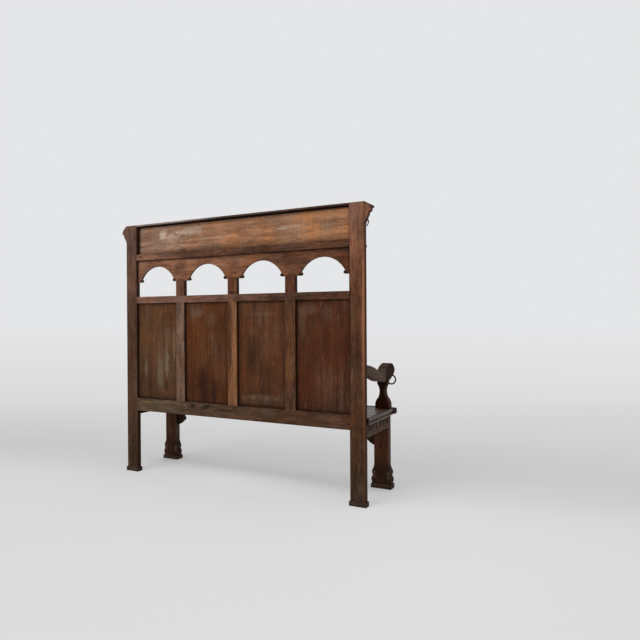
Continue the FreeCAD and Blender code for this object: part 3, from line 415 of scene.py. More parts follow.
def oak(name, grain="x", tones=((0, (90, 62, 46)),), tone_axis="x", seed=0.0, figure=0.4,
        dusty=0.15, stained=0.35, sawn=0.0, worn=0.5, roughness=0.6, spots=(), coat=0.0,
        shine=0.05, side=(SIDE_SHADE_BROWN, 0.0), carve=None, drift=0.2, lively=1.0, corner_reach=0.022):
    """An oak material.

    tones, tone_axis and drift give its colour along the piece. figure, lively and sawn are the
    strength of growth rings, mottle and saw marks. stained, dusty and worn tell how far it has
    aged, and the last setting how far the darkened corners reach. side is another tint, with its
    strength, that paints light and shade on faces that look sideways, up or down.
    """
    wood = Wood(name, grain, seed)
    colour = warm_and_cool(wood, tone_along(wood, tone_axis, tones, drift))
    shade, pores = grain_shade(wood, figure, lively, sawn)
    colour = wood.mix(1.0, colour, shade, "MULTIPLY")
    dust = dust_cover(wood)
    colour = marked(wood, weathered(wood, colour, stained, dusty, dust), spots)
    # paints light and shade on the faces that look sideways, up or down
    side_light_tint, side_light_strength = side
    if side_light_strength:
        colour = painted_side_light(wood, colour, side_light_tint, side_light_strength)
    if carve:
        colour = carve(wood, colour)
    rounded = wood.add("ShaderNodeBevel", {"Radius": EDGE_ROUND}, samples=4).outputs[0]
    colour = worn_and_darkened(wood, colour, rounded, worn, corner_reach)
    gloss = wood.between(wood.pattern("streaks"), 0.3, 0.7, -0.07, 0.07)
    gloss = wood.math("ADD", gloss, roughness)
    gloss = wood.math("ADD", gloss, wood.times(dust, 0.15))
    wood.surface(colour, gloss, grain_relief(wood, rounded, pores),
                 Specular_IOR_Level=shine, Coat_Weight=coat, Coat_Roughness=0.3)
    return wood.material


def dress(node, material):
    """Gives a node one material in place of those it came with."""
    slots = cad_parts[node].data.materials
    slots.clear()
    slots.append(material)


print("the oak finish is ready")

# %% [markdown]
# ## The posts
# Two long posts carry the back. They are lighter towards the top, partly in their own tone and
# partly as painted light from above. Their outer side is painted nearly black as shade, and the
# post at -X, on the right of the picture, has a painted highlight, a pale strip along its outer
# arris, and four small dents in its ear. A joint could be left to the gap between two meshes, but
# that gap is too thin for the camera, so a tall narrow mark draws the dark line where each post
# meets the rails.

# %% Dress the posts
# the marks lie on these faces, metres along Y
POST_FACE = 0.264
RAIL_FACE = 0.263
JOINT_LINE = (24, 14, 10)
JOINT_MIDDLE = 1.02
JOINT_DEPTH = 0.01
JOINT_HALF_HEIGHT = 0.6
EAR_DENTS = ((-0.890, 1.582), (-0.883, 1.560), (-0.875, 1.538), (-0.866, 1.513))


def joint_line(x, half_width, strength):
    """The dark line between a post and what is fitted to it."""
    size = (half_width, JOINT_DEPTH, JOINT_HALF_HEIGHT)
    return ((x, RAIL_FACE, JOINT_MIDDLE), size, JOINT_LINE, strength, 0.25, 0.3)


# lighter towards the top, partly the wood's own tone and partly painted light from above
post_tones = {
    "left": [(0.03, (66, 46, 33)), (0.45, (67, 43, 29)), (0.9, (68, 38, 22)),
             (1.25, (104, 66, 46)), (1.6, (119, 83, 66))],
    "right": [(0.03, (56, 39, 29)), (0.45, (61, 41, 30)), (0.9, (65, 42, 30)),
              (1.3, (82, 59, 49)), (1.6, (88, 65, 56))],
}
# a painted highlight along the outer arris of the post at -X
arris_highlight = marks(POST_FACE, [
    (-0.8460, 0.90, 0.0130, 0.58, (132, 86, 60), 0.75, 1.8, 0.5),
    (-0.8475, 1.00, 0.0080, 0.36, (160, 106, 72), 0.75, 2.4, 0.35),
    (-0.8500, 0.50, 0.0040, 0.48, (104, 62, 40), 0.6, 1.2, 0.3),
])
ear_dents = marks(POST_FACE, [(x, z, 0.007, 0.007, (38, 24, 19), 0.75, 1.2, 0.3)
                              for x, z in EAR_DENTS])
post_spots = {
    "left": arris_highlight + [joint_line(-0.7660, 0.0045, 0.9)] + ear_dents,
    "right": [joint_line(0.7660, 0.002, 0.5)],
}
for number, (side, tones) in enumerate(post_tones.items()):
    # the side tint paints shade on the sides of the posts
    dress("rear_post_" + side, oak("oak_post_" + side, "z", tones, "z", 1.0 + number, figure=0.5,
                                   dusty=0.12, worn=0.3, side=((52, 31, 21), 0.75),
                                   spots=post_spots[side]))
    dress("rear_foot_" + side, oak("oak_rear_foot_" + side, "x", [(0, (60, 47, 38))], "x",
                                   3.0 + number, worn=0.6))
print("posts and rear feet dressed")

# %% [markdown]
# ## The rails, the arcade and the frieze
# The boards that run across grow paler towards +X, the left of the picture, partly in their own
# tone and partly as painted light from that side, and their sides and edges get painted shade. The
# frieze is a rough board: it keeps its saw marks and carries grey and white patches of old wash,
# and a painted shadow along its top under the top board. The bottom rail has two dark knots. Each
# board could get a material built from nothing, but they differ only in tone, marks and surface,
# so a loop calls the same oak with a table of those.

# %% Marks of the boards
FRIEZE_FACE = 0.235
BOARD_FACE = 0.248
ARCADE_CORNERS = (-0.738, -0.459, -0.339, -0.06, 0.06, 0.339, 0.459, 0.738)
rail_spots = {
    "frieze_panel": marks(FRIEZE_FACE, [
        (0.70, 1.54, 0.09, 0.035, (112, 82, 70), 0.7, 1.2, 0.7),
        (0.73, 1.585, 0.04, 0.012, (158, 134, 124), 0.6),
        (0.560, 1.548, 0.034, 0.038, (198, 178, 160), 0.85, 4.0, 0.45),
        (0.49, 1.528, 0.07, 0.024, (184, 162, 142), 0.75, 4.0, 0.45),
        (0.35, 1.554, 0.12, 0.026, (188, 166, 148), 0.8, 3.6, 0.45),
        (0.20, 1.498, 0.20, 0.004, (186, 158, 132), 0.6, 3.0, 0.6),
        (0.10, 1.56, 0.18, 0.035, (158, 116, 84), 0.4),
        (-0.42, 1.532, 0.09, 0.016, (180, 152, 128), 0.6, 3.0, 0.6),
        (-0.34, 1.520, 0.05, 0.010, (180, 156, 136), 0.6, 1.4, 0.6),
        (-0.60, 1.578, 0.24, 0.020, (188, 130, 86), 0.7, 1.0, 0.8),
        (-0.62, 1.537, 0.14, 0.014, (122, 82, 58), 0.6, 1.2, 0.7),
        (-0.30, 1.49, 0.16, 0.022, (116, 78, 54), 0.5, 1.2, 0.7),
        (0.02, 1.445, 0.32, 0.018, (92, 60, 42), 0.6, 1.2, 0.7),
        (0.40, 1.43, 0.035, 0.022, (56, 36, 27), 0.8),
        (0.72, 1.455, 0.07, 0.025, (112, 80, 66), 0.6),
        # a painted shadow along the top of the frieze, under the top board
        (0.0, 1.610, 1.2, 0.0095, (14, 9, 7), 0.95, 0.2, 0.2),
    ]),
    "upper_rail": marks(RAIL_FACE, [(0.37, 1.415, 0.04, 0.02, (50, 33, 25), 0.7)]),
    "bottom_rail": marks(RAIL_FACE, [
        (0.302, 0.467, 0.022, 0.010, (12, 8, 6), 1.0, 1.6, 0.3),
        (0.192, 0.469, 0.026, 0.009, (12, 8, 6), 1.0, 1.6, 0.3),
        (0.06, 0.450, 0.08, 0.012, (38, 24, 20), 0.7, 2.6, 0.3),
        (0.215, 0.455, 0.030, 0.005, (20, 13, 10), 0.8, 1.6, 0.3),
        (0.25, 0.478, 0.12, 0.016, (112, 92, 78), 0.4),
        (0.384, 0.444, 0.004, 0.05, (40, 28, 22), 0.8, 0.3, 0.4),
        (-0.25, 0.46, 0.06, 0.03, (96, 80, 68), 0.5),
        (0.62, 0.455, 0.16, 0.02, (104, 86, 70), 0.4),
    ]),
    "mid_rail": marks(RAIL_FACE, [(0.38, 1.13, 0.08, 0.03, (128, 98, 84), 0.5)]),
    "arcade_board": marks(BOARD_FACE, [
        (0.40, 1.34, 0.05, 0.04, (92, 60, 46), 0.6),
        (0.0, 1.33, 0.05, 0.05, (96, 62, 44), 0.5),
        (-0.40, 1.34, 0.06, 0.05, (76, 48, 34), 0.6),
        (0.72, 1.36, 0.05, 0.03, (142, 106, 84), 0.5),
        (-0.18, 1.37, 0.10, 0.02, (136, 92, 62), 0.5),
    # painted shade at the ends of the arches' nibs
    ] + [(corner, 1.250, 0.015, 0.011, (24, 15, 11), 0.85, 0.5, 0.3) for corner in ARCADE_CORNERS]),
}
print("marks on the boards:", sum(len(rows) for rows in rail_spots.values()))

# %% Dress the boards
rail_tones = {
    "bottom_rail": [(-0.8, (62, 36, 22)), (0.0, (70, 50, 37)), (0.36, (70, 52, 40)),
                    (0.40, (74, 58, 44)), (0.8, (75, 59, 44))],
    "mid_rail": [(-0.8, (63, 38, 27)), (-0.3, (78, 53, 41)), (0.0, (98, 71, 60)),
                 (0.8, (104, 74, 63))],
    "upper_rail": [(-0.8, (76, 47, 30)), (0.0, (84, 56, 42)), (0.8, (102, 74, 60))],
    "arcade_board": [(-0.8, (83, 51, 34)), (-0.2, (104, 67, 47)), (0.2, (116, 77, 56)),
                     (0.8, (120, 84, 65))],
    "frieze_panel": [(-0.8, (152, 108, 76)), (-0.2, (144, 102, 74)), (0.2, (134, 98, 76)),
                     (0.8, (142, 112, 94))],
}
PLANED = dict(dusty=0.2, sawn=0.0, lively=1.4, stained=0.3)
ROUGH = dict(dusty=0.5, sawn=0.95, lively=0.85, stained=0.12)
for number, (node, tones) in enumerate(rail_tones.items()):
    surface = ROUGH if node == "frieze_panel" else PLANED
    dress(node, oak("oak_" + node, "x", tones, "x", 5.0 + number * 1.7, worn=0.3,
                    side=(SIDE_SHADE_BROWN, 0.85), spots=rail_spots[node], **surface))
print("boards dressed:", len(rail_tones))

# %% [markdown]
# ## Muntins and columns
# The uprights between the panels and the short columns of the arcade are narrow, and each came
# from another board, so each has one tone. The middle muntin has two shades, a bright strip
# beside a dark one. A ramp across its width would give two straight halves. Two tall thin marks
# with torn rims look like the real border between them.

# %% Dress the muntins and columns
upright_tones = {
    "muntin_left": (78, 51, 36), "muntin_middle": (104, 70, 48), "muntin_right": (98, 73, 59),
    "arcade_column_left": (79, 48, 34), "arcade_column_middle": (91, 56, 38),
    "arcade_column_right": (90, 61, 51),
}
upright_spots = {
    "muntin_left": marks(RAIL_FACE, [
        (-0.392, 0.74, 0.024, 0.10, (110, 72, 46), 0.6, 0.9, 0.5),
        (-0.388, 0.690, 0.030, 0.050, (140, 96, 56), 0.55, 1.2, 0.7),
    ]),
    "muntin_middle": marks(RAIL_FACE, [
        (-0.018, 0.78, 0.017, 0.50, (148, 100, 64), 0.8, 1.0, 0.45),
        (0.022, 0.90, 0.019, 0.28, (60, 36, 25), 1.0, 1.0, 0.4),
    ]),
    "arcade_column_middle": marks(RAIL_FACE, [
        (0.0, 1.158, 0.04, 0.010, (40, 26, 19), 0.8, 0.8, 0.5),
    ]),
}
for number, (node, tone) in enumerate(upright_tones.items()):
    dress(node, oak("oak_" + node, "z", [(0, tone)], "z", 15.0 + number * 2.3, dusty=0.15,
                    worn=0.25, stained=0.2, side=(SIDE_SHADE_BROWN, 0.7), lively=1.4,
                    spots=upright_spots.get(node, ())))
print("uprights dressed:", len(upright_tones))

# %% [markdown]
# ## Panels
# Four wide thin boards fill the frame. They are red brown, darker at the foot and lighter at the
# head, partly in their own tone and partly as painted light from above, with glowing patches where
# the stain has worn, and pale splashes on the one at the left of the picture. They are numbered
# from -X to +X, so the first is on the right of the picture. The darkened corners reach further
# out on them than on the rails, because a panel lies deep in its frame. One material for all four
# would be shorter, but the eye would find the same grain four times.

# %% Marks of the panels
panel_marks = [
    [(-0.50, 1.05, 0.07, 0.035, (112, 92, 76), 0.5),
     (-0.62, 1.03, 0.04, 0.05, (104, 84, 68), 0.4),
     (-0.47, 0.98, 0.02, 0.10, (106, 86, 70), 0.45),
     (-0.60, 0.80, 0.12, 0.18, (92, 48, 26), 0.5, 1.2, 0.9),
     (-0.52, 0.60, 0.10, 0.07, (86, 44, 24), 0.5, 1.2, 0.9)],
    [(-0.20, 0.540, 0.15, 0.020, (112, 92, 74), 0.6),
     (-0.20, 0.512, 0.14, 0.010, (92, 74, 60), 0.6),
     (-0.14, 0.80, 0.05, 0.12, (38, 27, 21), 0.7, 1.6, 0.6),
     (-0.24, 0.70, 0.06, 0.06, (42, 30, 24), 0.5, 1.6, 0.6),
     (-0.28, 0.90, 0.07, 0.20, (98, 56, 30), 0.55, 1.2, 0.9),
     (-0.20, 1.03, 0.14, 0.012, (110, 80, 58), 0.5),
     (-0.14, 0.93, 0.03, 0.03, (104, 84, 68), 0.5)],
    [(0.235, 0.60, 0.036, 0.11, (38, 22, 21), 0.7, 2.4, 0.35),
     (0.15, 0.57, 0.026, 0.08, (40, 25, 23), 0.7, 2.4, 0.35),
     (0.19, 0.66, 0.06, 0.10, (50, 28, 22), 0.6, 2.0, 0.6),
     (0.26, 0.84, 0.09, 0.16, (108, 60, 30), 0.6, 1.2, 0.9),
     (0.12, 0.66, 0.05, 0.10, (98, 50, 24), 0.5, 1.2, 0.9),
     (0.28, 1.04, 0.06, 0.03, (112, 92, 76), 0.5),
     (0.17, 1.00, 0.05, 0.05, (100, 78, 62), 0.5)],
    [(0.525, 0.74, 0.018, 0.10, (140, 126, 102), 0.65, 3.6, 0.45),
     (0.585, 0.66, 0.030, 0.12, (112, 98, 78), 0.6, 3.2, 0.5),
     (0.462, 0.84, 0.010, 0.11, (144, 130, 112), 0.75, 3.2, 0.4),
     (0.70, 0.68, 0.016, 0.06, (116, 102, 84), 0.6, 3.2, 0.5),
     (0.50, 0.90, 0.05, 0.05, (104, 88, 74), 0.5, 2.0, 0.5),
     (0.72, 0.93, 0.03, 0.07, (112, 70, 38), 0.6, 1.5, 0.6),
     (0.53, 0.575, 0.014, 0.035, (34, 25, 20), 0.85, 1.4, 0.4)],
]
print("marks on the panels:", [len(rows) for rows in panel_marks])

# %% Dress the panels
panel_tones = [(66, 36, 22), (72, 43, 26), (73, 41, 21), (74, 48, 30)]
PANEL_HEIGHTS = (0.48, 0.65, 1.1)
# darker at the foot and lighter at the head, partly painted light from above
FOOT_SHARE = 0.84
HEAD_SHARE = 1.08
for number, (tone, rows) in enumerate(zip(panel_tones, panel_marks)):
    foot_tone = tuple(value * FOOT_SHARE for value in tone)
    head_tone = tuple(value * HEAD_SHARE for value in tone)
    tones = list(zip(PANEL_HEIGHTS, (foot_tone, tone, head_tone)))
    panel_oak = oak("oak_panel_%d" % (number + 1), "z", tones, "z", 31.0 + number * 3.1,
                    dusty=0.2, sawn=0.35, worn=0.2, lively=0.6, stained=0.25, corner_reach=0.045,
                    spots=marks(BOARD_FACE, rows))
    dress("back_panel_%d" % (number + 1), panel_oak)
dress("frame_pegs", oak("oak_pegs", "y", [(0, (60, 40, 29))], "y", 44.0, worn=0.2))
print("panels and pegs dressed")

# %% [markdown]
# ## Painted shade in carved places
# Flutes, the deeper parts of the seat edge and the lower side of the top board are painted dark
# as shade, and the carved feet are darker too. The occlusion above finds corners, but a shallow
# flute is too open for it. So each carved piece gets a rule of its own: dark where a point lies
# deeper than the face, or lower than a height. Each rule is a small function that the oak calls
# before the edges wear. Where a rule starts from an outer face, that face is read from the box of
# the piece.


# %% The box of a piece
def box_of(node):
    """The low and the high corner of a piece, in the bench's own frame."""
    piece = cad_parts[node]
    points = [piece.matrix_world @ Vector(corner) for corner in piece.bound_box]
    low = Vector([min(point[axis] for point in points) for axis in range(3)])
    high = Vector([max(point[axis] for point in points) for axis in range(3)])
    return low, high


arm_low, arm_high = box_of("arm_right")
print("size of the right arm:", [round(value, 4) for value in arm_high - arm_low])


# %% Hollows and lower sides
def hollows(face, start, end, tint=(16, 10, 8), strength=1.0):
    """Paints shade on what lies deeper than the outer face of an end of the bench, in metres."""
    def carve(wood, colour):
        depth = wood.math("SUBTRACT", face, wood.math("ABSOLUTE", wood.axis("X")))
        return wood.mix(wood.between(depth, start, end, 0.0, strength), colour, linear(*tint))
    return carve


def below(height, fade, strength, tint=(14, 9, 7)):
    """Paints shade on what lies under a height of the bench."""
    def carve(wood, colour):
        dark = wood.between(wood.axis("Z"), height - fade, height, strength, 0.0)
        return wood.mix(dark, colour, linear(*tint))
    return carve


print("rules for hollows are ready")

# %% [markdown]
# ## Lines on the arms
# A few dark lines run along the side of each arm and follow its sweep. On the real arm they are
# shallow cuts. They are too fine to be cut in the solid, so the finish draws them: a ramp holds
# the height of the arm's middle curve, and a sine of the distance from that curve gives lines
# beside it at an even pitch. Behind the head the slope that faces up and back is painted grey, as
# light falling on it.

# %% Arm lines
arm_back = box_of("rear_post_right")[0].y
arm_length = arm_back - arm_low.y
arm_rise = arm_high.z - arm_low.z
WAVE_OVER_RISE = 62.0
LINE_DARK = linear(34, 26, 23)
SLOPE_LIGHT_GREY = linear(98, 81, 70)
BEHIND_HEAD = (-0.165, -0.140)
# the share of the arm's length from the back, and the share of its rise
ARM_CURVE = [(0.0, 0.785), (0.2, 0.70), (0.34, 0.50), (0.42, 0.40), (0.5, 0.31), (0.58, 0.275),
             (0.68, 0.29), (0.76, 0.40), (0.84, 0.50), (1.0, 0.52)]


def arm_lines(wood, colour):
    share = wood.math("DIVIDE", wood.math("SUBTRACT", arm_back, wood.axis("Y")), arm_length)
    middle = wood.ramp(share, [(place, (level, level, level, 1.0)) for place, level in ARM_CURVE])
    rise = wood.math("DIVIDE", wood.math("SUBTRACT", wood.axis("Z"), arm_low.z), arm_rise)
    wave = wood.math("SINE", wood.times(wood.math("SUBTRACT", rise, middle), WAVE_OVER_RISE))
    line = wood.times(wood.between(wave, 0.25, 0.95), wood.between(share, 0.62, 0.74, 0.75, 0.25))
    # painted light: the slope behind the head that faces up and back turns grey
    facing = wood.normal()
    slope = wood.math("ADD", wood.part_of(facing, "Y"), wood.part_of(facing, "Z"))
    slope = wood.between(slope, 0.5, 0.9, 0.0, 0.8)
    behind_head = wood.between(wood.axis("Y"), *BEHIND_HEAD)
    colour = wood.mix(wood.times(slope, behind_head), colour, SLOPE_LIGHT_GREY)
    return wood.mix(line, colour, LINE_DARK)


print("length and rise of the arm:", round(arm_length, 4), round(arm_rise, 4))

# %% [markdown]
# ## Turns of the foot scrolls
# The feet of the front legs are carved with two rolls on each side. The roll is in the solid. Its
# spiral could be carved too, but it is so shallow that it is drawn as a painted highlight: a pale
# ring round the place of each eye. The foot is also darker towards its bottom. The places are
# given once, and the eyes are planted at the same ones later on.

# %% Foot scrolls
EYE_HEIGHTS = (0.091, 0.066)
EYE_INSET = 0.0176
leg_low, leg_high = box_of("front_leg_right")
leg_middle = (leg_low.x + leg_high.x) / 2
eye_reach = (leg_high.x - leg_low.x) / 2 - EYE_INSET
SCROLL_HIGHLIGHT = linear(96, 74, 64)
FOOT_DARK = linear(16, 10, 8)
FOOT_FADE = (0.11, 0.19)
TURN_INNER, TURN_OUTER = 0.006, 0.014


def foot_scrolls(wood, colour):
    # darker towards the bottom of the foot
    colour = wood.mix(wood.between(wood.axis("Z"), *FOOT_FADE, 0.6, 0.0), colour, FOOT_DARK)
    centre = wood.math("SUBTRACT", wood.math("ABSOLUTE", wood.axis("X")), leg_middle)
    across = wood.math("SUBTRACT", wood.math("ABSOLUTE", centre), eye_reach)
    # a pale ring round each eye, a painted highlight on the turn of the spiral
    for height in EYE_HEIGHTS:
        rise = wood.math("SUBTRACT", wood.axis("Z"), height)
        squares = wood.math("ADD", wood.times(across, across), wood.times(rise, rise))
        away = wood.math("SQRT", squares)
        ring = wood.math("ABSOLUTE", wood.between(away, TURN_INNER, TURN_OUTER, -1.0, 1.0))
        turn = wood.math("MULTIPLY", wood.math("SUBTRACT", 1.0, ring), 0.55, clamp=True)
        colour = wood.mix(turn, colour, SCROLL_HIGHLIGHT)
    return colour


print("an eye lies", round(eye_reach, 4), "m beside the middle of the leg")

# %% [markdown]
# ## Cornice, seat, legs and arms
# The top board is pale with dust at +X, and its lower edge is painted dark as shade. The seat is
# polished by use, so it shines and its edges are rubbed, and its nosing is dark. The flutes of the
# side apron and the deeper parts of the seat edge are painted black as shade. Each piece could
# have a cell of its own. A table is shorter: it gives what differs from the plain oak, by how the
# names of the nodes start. The left and the right piece of a pair share an entry, and only their
# seeds differ.

# %% Looks by name
# the top board is painted dark below this height, as shade
SHADOW_BELOW_HEIGHT = 1.6125
seat_edge_face = box_of("seat_edge_right")[1].x
apron_face = box_of("side_apron_right")[1].x
arm_tones = [(-0.26, (44, 27, 16)), (-0.105, (46, 28, 17)), (-0.080, (104, 86, 76)),
             (0.24, (98, 82, 72))]
looks = {
    "top_board": dict(grain="x", tones=[(-0.85, (66, 45, 37)), (0.1, (82, 62, 54)),
                                        (0.4, (128, 110, 104)), (0.85, (150, 134, 128))],
                      side=(SIDE_SHADE_BROWN, 0.6), carve=below(SHADOW_BELOW_HEIGHT, 0.003, 0.9)),
    "cornice_moulding": dict(grain="x", tones=[(0, (78, 52, 38))]),
    "post_bead": dict(grain="x", tones=[(0, (62, 42, 31))]),
    "console": dict(grain="y", tones=[(0, (36, 23, 17))]),
    "seat_board": dict(grain="x", tones=[(0, (88, 64, 45))], roughness=0.40, coat=0.08,
                       shine=0.3, lively=1.5, stained=0.5, worn=0.8),
    "seat_nosing": dict(grain="x", tones=[(-0.869, (40, 29, 23)), (-0.862, (36, 23, 16)),
                                          (0.9, (48, 31, 22))],
                        drift=0.0, roughness=0.55, shine=0.04, lively=1.3),
    "seat_edge": dict(grain="y", tones=[(0, (96, 78, 68))], roughness=0.45, shine=0.25,
                      # painted shade in the deeper parts of the seat edge
                      carve=hollows(seat_edge_face, 0.003, 0.005, strength=0.97)),
    "seat_bearer": dict(grain="x", tones=[(0, (70, 50, 38))]),
    "seat_crossbearers": dict(grain="y", tones=[(0, (70, 50, 38))]),
    "front_apron": dict(grain="x", tones=[(0, (78, 60, 50))]),
    "side_apron_moulding": dict(grain="y", tones=[(0, (86, 69, 61))]),
    "side_apron": dict(grain="y", tones=[(0, (90, 73, 64))],
                       # painted shade in the flutes
                       carve=hollows(apron_face, 0.0006, 0.002, tint=(8, 6, 5))),
    "arm_support": dict(grain="z", tones=[(0, (60, 32, 20))], worn=0.2),
    "arm": dict(grain="y", tones=arm_tones, tone_axis="y", drift=0.05, roughness=0.6,
                shine=0.02, worn=0.25, carve=arm_lines),
    "apron_bracket": dict(grain="z", tones=[(0, (44, 28, 20))]),
    # here the side tint paints light on the sides of the leg
    "front_leg": dict(grain="z", tones=[(0, (74, 45, 30))], side=((92, 72, 62), 0.7),
                      worn=0.2, carve=foot_scrolls),
    "front_foot": dict(grain="x", tones=[(0, (56, 42, 33))]),
}
print("looks:", len(looks))

# %% Dress the other oak pieces
IRON_NAMES = ("arm_ring", "arm_staple")
PLAIN_OAK = {"dusty": 0.08, "worn": 0.6}
dressed = 0
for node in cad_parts:
    look = next((look for start, look in looks.items() if node.startswith(start)), None)
    if look is None or node.startswith(IRON_NAMES):
        continue
    dress(node, oak("oak_" + node, seed=50.0 + dressed * 1.9, **{**PLAIN_OAK, **look}))
    dressed += 1
print("other oak pieces dressed:", dressed)

# %% [markdown]
# ## Eyes of the foot scrolls
# Each roll of the carved feet ends in a small round eye, on the back and on the front of the leg.
# An eye could be a bump in the material, but it stands proud and catches light, so it is real
# geometry: a sphere flattened to half its depth and sunk in the face to its middle. All eyes of
# one leg are one mesh, placed where the finish has drawn their rings.

# %% Plant the eyes
EYE_RADIUS = 0.0052
HALF_DEEP = Matrix.Diagonal((1.0, 0.5, 1.0, 1.0))


def eyes_of(side):
    """The eyes of all rolls of one leg, on both its faces, as one mesh."""
    low, high = box_of("front_leg_" + side)
    middle = (low.x + high.x) / 2
    places = [(middle + across, face, height) for height in EYE_HEIGHTS
              for across in (-eye_reach, eye_reach) for face in (low.y, high.y)]
    shape = bmesh.new()
    for place in places:
        bmesh.ops.create_uvsphere(shape, u_segments=18, v_segments=10, radius=EYE_RADIUS,
                                  matrix=Matrix.Translation(place) @ HALF_DEEP)
    mesh = bpy.data.meshes.new("scroll_eyes_" + side)
    shape.to_mesh(mesh)
    shape.free()
    mesh.polygons.foreach_set("use_smooth", [True] * len(mesh.polygons))
    return mesh


eye_oak = oak("oak_scroll_eyes", "z", [(0, (84, 60, 48))], "z", 91.0, worn=0.9, roughness=0.4,
              shine=0.4)
for side in ("left", "right"):
    mesh = eyes_of(side)
    mesh.materials.append(eye_oak)
    eyes = bpy.data.objects.new("scroll_eyes_" + side, mesh)
    scene.collection.objects.link(eyes)
    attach(eyes, "root")
    print("faces of the eyes,", side + ":", len(mesh.polygons))

# %% [markdown]
# ## Iron
# The rings and their staples are forged iron, blackened in the fire, with a little brown rust. A
# fully metallic shader would mirror the pale studio and look like new steel. Scale on forged
# iron is dull, so the metal share is low, and a fine bump stands for the hammered skin.


# %% Dress the rings and staples
def iron(name, seed):
    finish = Finish(name)
    moved = finish.vector("ADD", finish.place, (seed, seed * 2.0, seed * 0.5))
    grain = finish.noise(moved, 420.0, 4.0, 0.6)
    rust = finish.between(finish.noise(moved, 90.0, 4.0, 0.65), 0.5, 0.68)
    colour = finish.mix(rust, linear(15, 13, 12), linear(34, 23, 18))
    colour = finish.mix(finish.between(grain, 0.4, 0.7, 0.0, 0.4), colour, linear(8, 7, 7))
    bump = finish.add("ShaderNodeBump", {"Height": grain, "Strength": 0.4, "Distance": 0.0004})
    rough = finish.between(rust, 0.0, 1.0, 0.5, 0.8)
    finish.surface(colour, rough, bump.outputs[0], Metallic=0.3, Specular_IOR_Level=0.3)
    return finish.material


irons = {"ring_": iron("blackened_iron_rings", 3.0), "staple_": iron("blackened_iron_staples", 8.0)}
for side in ("left", "right"):
    for kind, material in irons.items():
        dress("arm_" + kind + side, material)
        dress("cornice_" + kind + side, material)
print("iron dressed:", sorted(material.name for material in irons.values()))

# %% [markdown]
# ## The studio floor
# The photograph shows a pale floor that runs without an edge into a pale backdrop. A bent sheet
# could be modelled, as in a real studio. Here one flat plane does it: near the bench it is partly
# a plain diffuse floor that takes shadows, and further away it turns wholly into a glow with the
# colour of the backdrop. The plane is read along three directions: VIEW runs away from the camera
# through the bench, BAND a little to its side, across the soft painted shadow band beyond the
# bench, and ACROSS to the right of the picture, as the floor is painted darker on the left, as
# shade.

# %% Where the floor is read
VIEW = (0.4556, -0.8902, 0.0)
BAND = (0.1885, -1.0269, 0.0)
ACROSS = (-0.8902, -0.4556, 0.0)
# Added to a distance along VIEW or BAND, these make it count from where the picture was taken.
VIEW_START = 3.595
BAND_START = 3.474
# Past these two lines the floor lies outside the picture: a direction across each, and an offset.
LEFT_EDGE = ((0.549, 0.836, 0.0), -1.41)
RIGHT_EDGE = ((-0.999, 0.044, 0.0), -2.13)
# Metres over which the floor turns into backdrop: round the bench, though only on the near side
# of it, and past the two lines. The far floor turns from part glow to all glow.
ROUND_FADE = (2.4, 6.0)
NEAR_SIDE = (2.0, 0.0)
LINE_FADE = (0.3, 3.3)
FAR_FLOOR = (3.2, 7.0)
LEAST_GLOW = 0.62
backdrop = linear(229, 230, 232)
ground = Finish("studio_floor")


def floor_along(direction, offset=0.0):
    """How far a point of the floor lies along a direction, in metres."""
    reach = ground.vector("DOT_PRODUCT", ground.place, direction)
    return ground.math("ADD", reach, offset) if offset else reach


beyond = floor_along(VIEW)
outside = ground.between(ground.vector("LENGTH", ground.place), *ROUND_FADE)
outside = ground.math("MULTIPLY", outside, ground.between(beyond, *NEAR_SIDE))
for direction, offset in (LEFT_EDGE, RIGHT_EDGE):
    past = ground.between(floor_along(direction, offset), *LINE_FADE)
    outside = ground.math("MAXIMUM", outside, past)
far = ground.between(floor_along(VIEW, VIEW_START), *FAR_FLOOR, LEAST_GLOW, 1.0)
far = ground.math("MAXIMUM", far, outside)
print("directions on the floor are ready")

# %% [markdown]
# ## The colours of the floor
# The glow follows the photograph: pale near the camera, a soft painted shadow band beyond the
# bench, and then slowly up to the backdrop. A list of distances and grey levels gives it to a
# ramp. Two more things are laid over the glow, because a glow takes no shadow: a painted shadow
# under the bench, found by occlusion, and a painted pool of light where the lamp shines under
# the bottom rail.

# %% Lit floor and glowing floor
GLOW_REACH = (2.5, 40.0)
# the dip round 3.85 m is the painted shadow band beyond the bench
glow_levels = [(2.5, 227), (3.0, 226), (3.2, 222), (3.45, 211), (3.85, 205), (4.4, 210),
               (5.0, 215), (5.6, 217), (6.5, 219), (8.0, 221), (12.0, 225), (25.0, 228)]
SHADOW_GREY = linear(120, 120, 120)
POOL_MIDDLE = (0.10, 0.13, 0.0)
POOL_SIZE = (0.80, 0.22, 1.0)
POOL_LIGHT = linear(240, 240, 240)

mottled = ground.noise(ground.place, 0.9, 2.0, 0.5)
skin_colour = ground.mix(mottled, linear(231, 231, 231), linear(236, 236, 236))
# painted shade: the floor is darker on the left
skin_colour = ground.mix(ground.between(floor_along(ACROSS), -1.8, 1.0),
                         linear(208, 208, 208), skin_colour)
skin = ground.add("ShaderNodeBsdfDiffuse", {"Color": skin_colour})

nearest, furthest = GLOW_REACH
glow_stops = [((distance - nearest) / (furthest - nearest), linear(level, level, level + 1))
              for distance, level in glow_levels]
band = ground.between(floor_along(BAND, BAND_START), nearest, furthest)
glow_colour = ground.ramp(band, glow_stops + [(1.0, backdrop)])
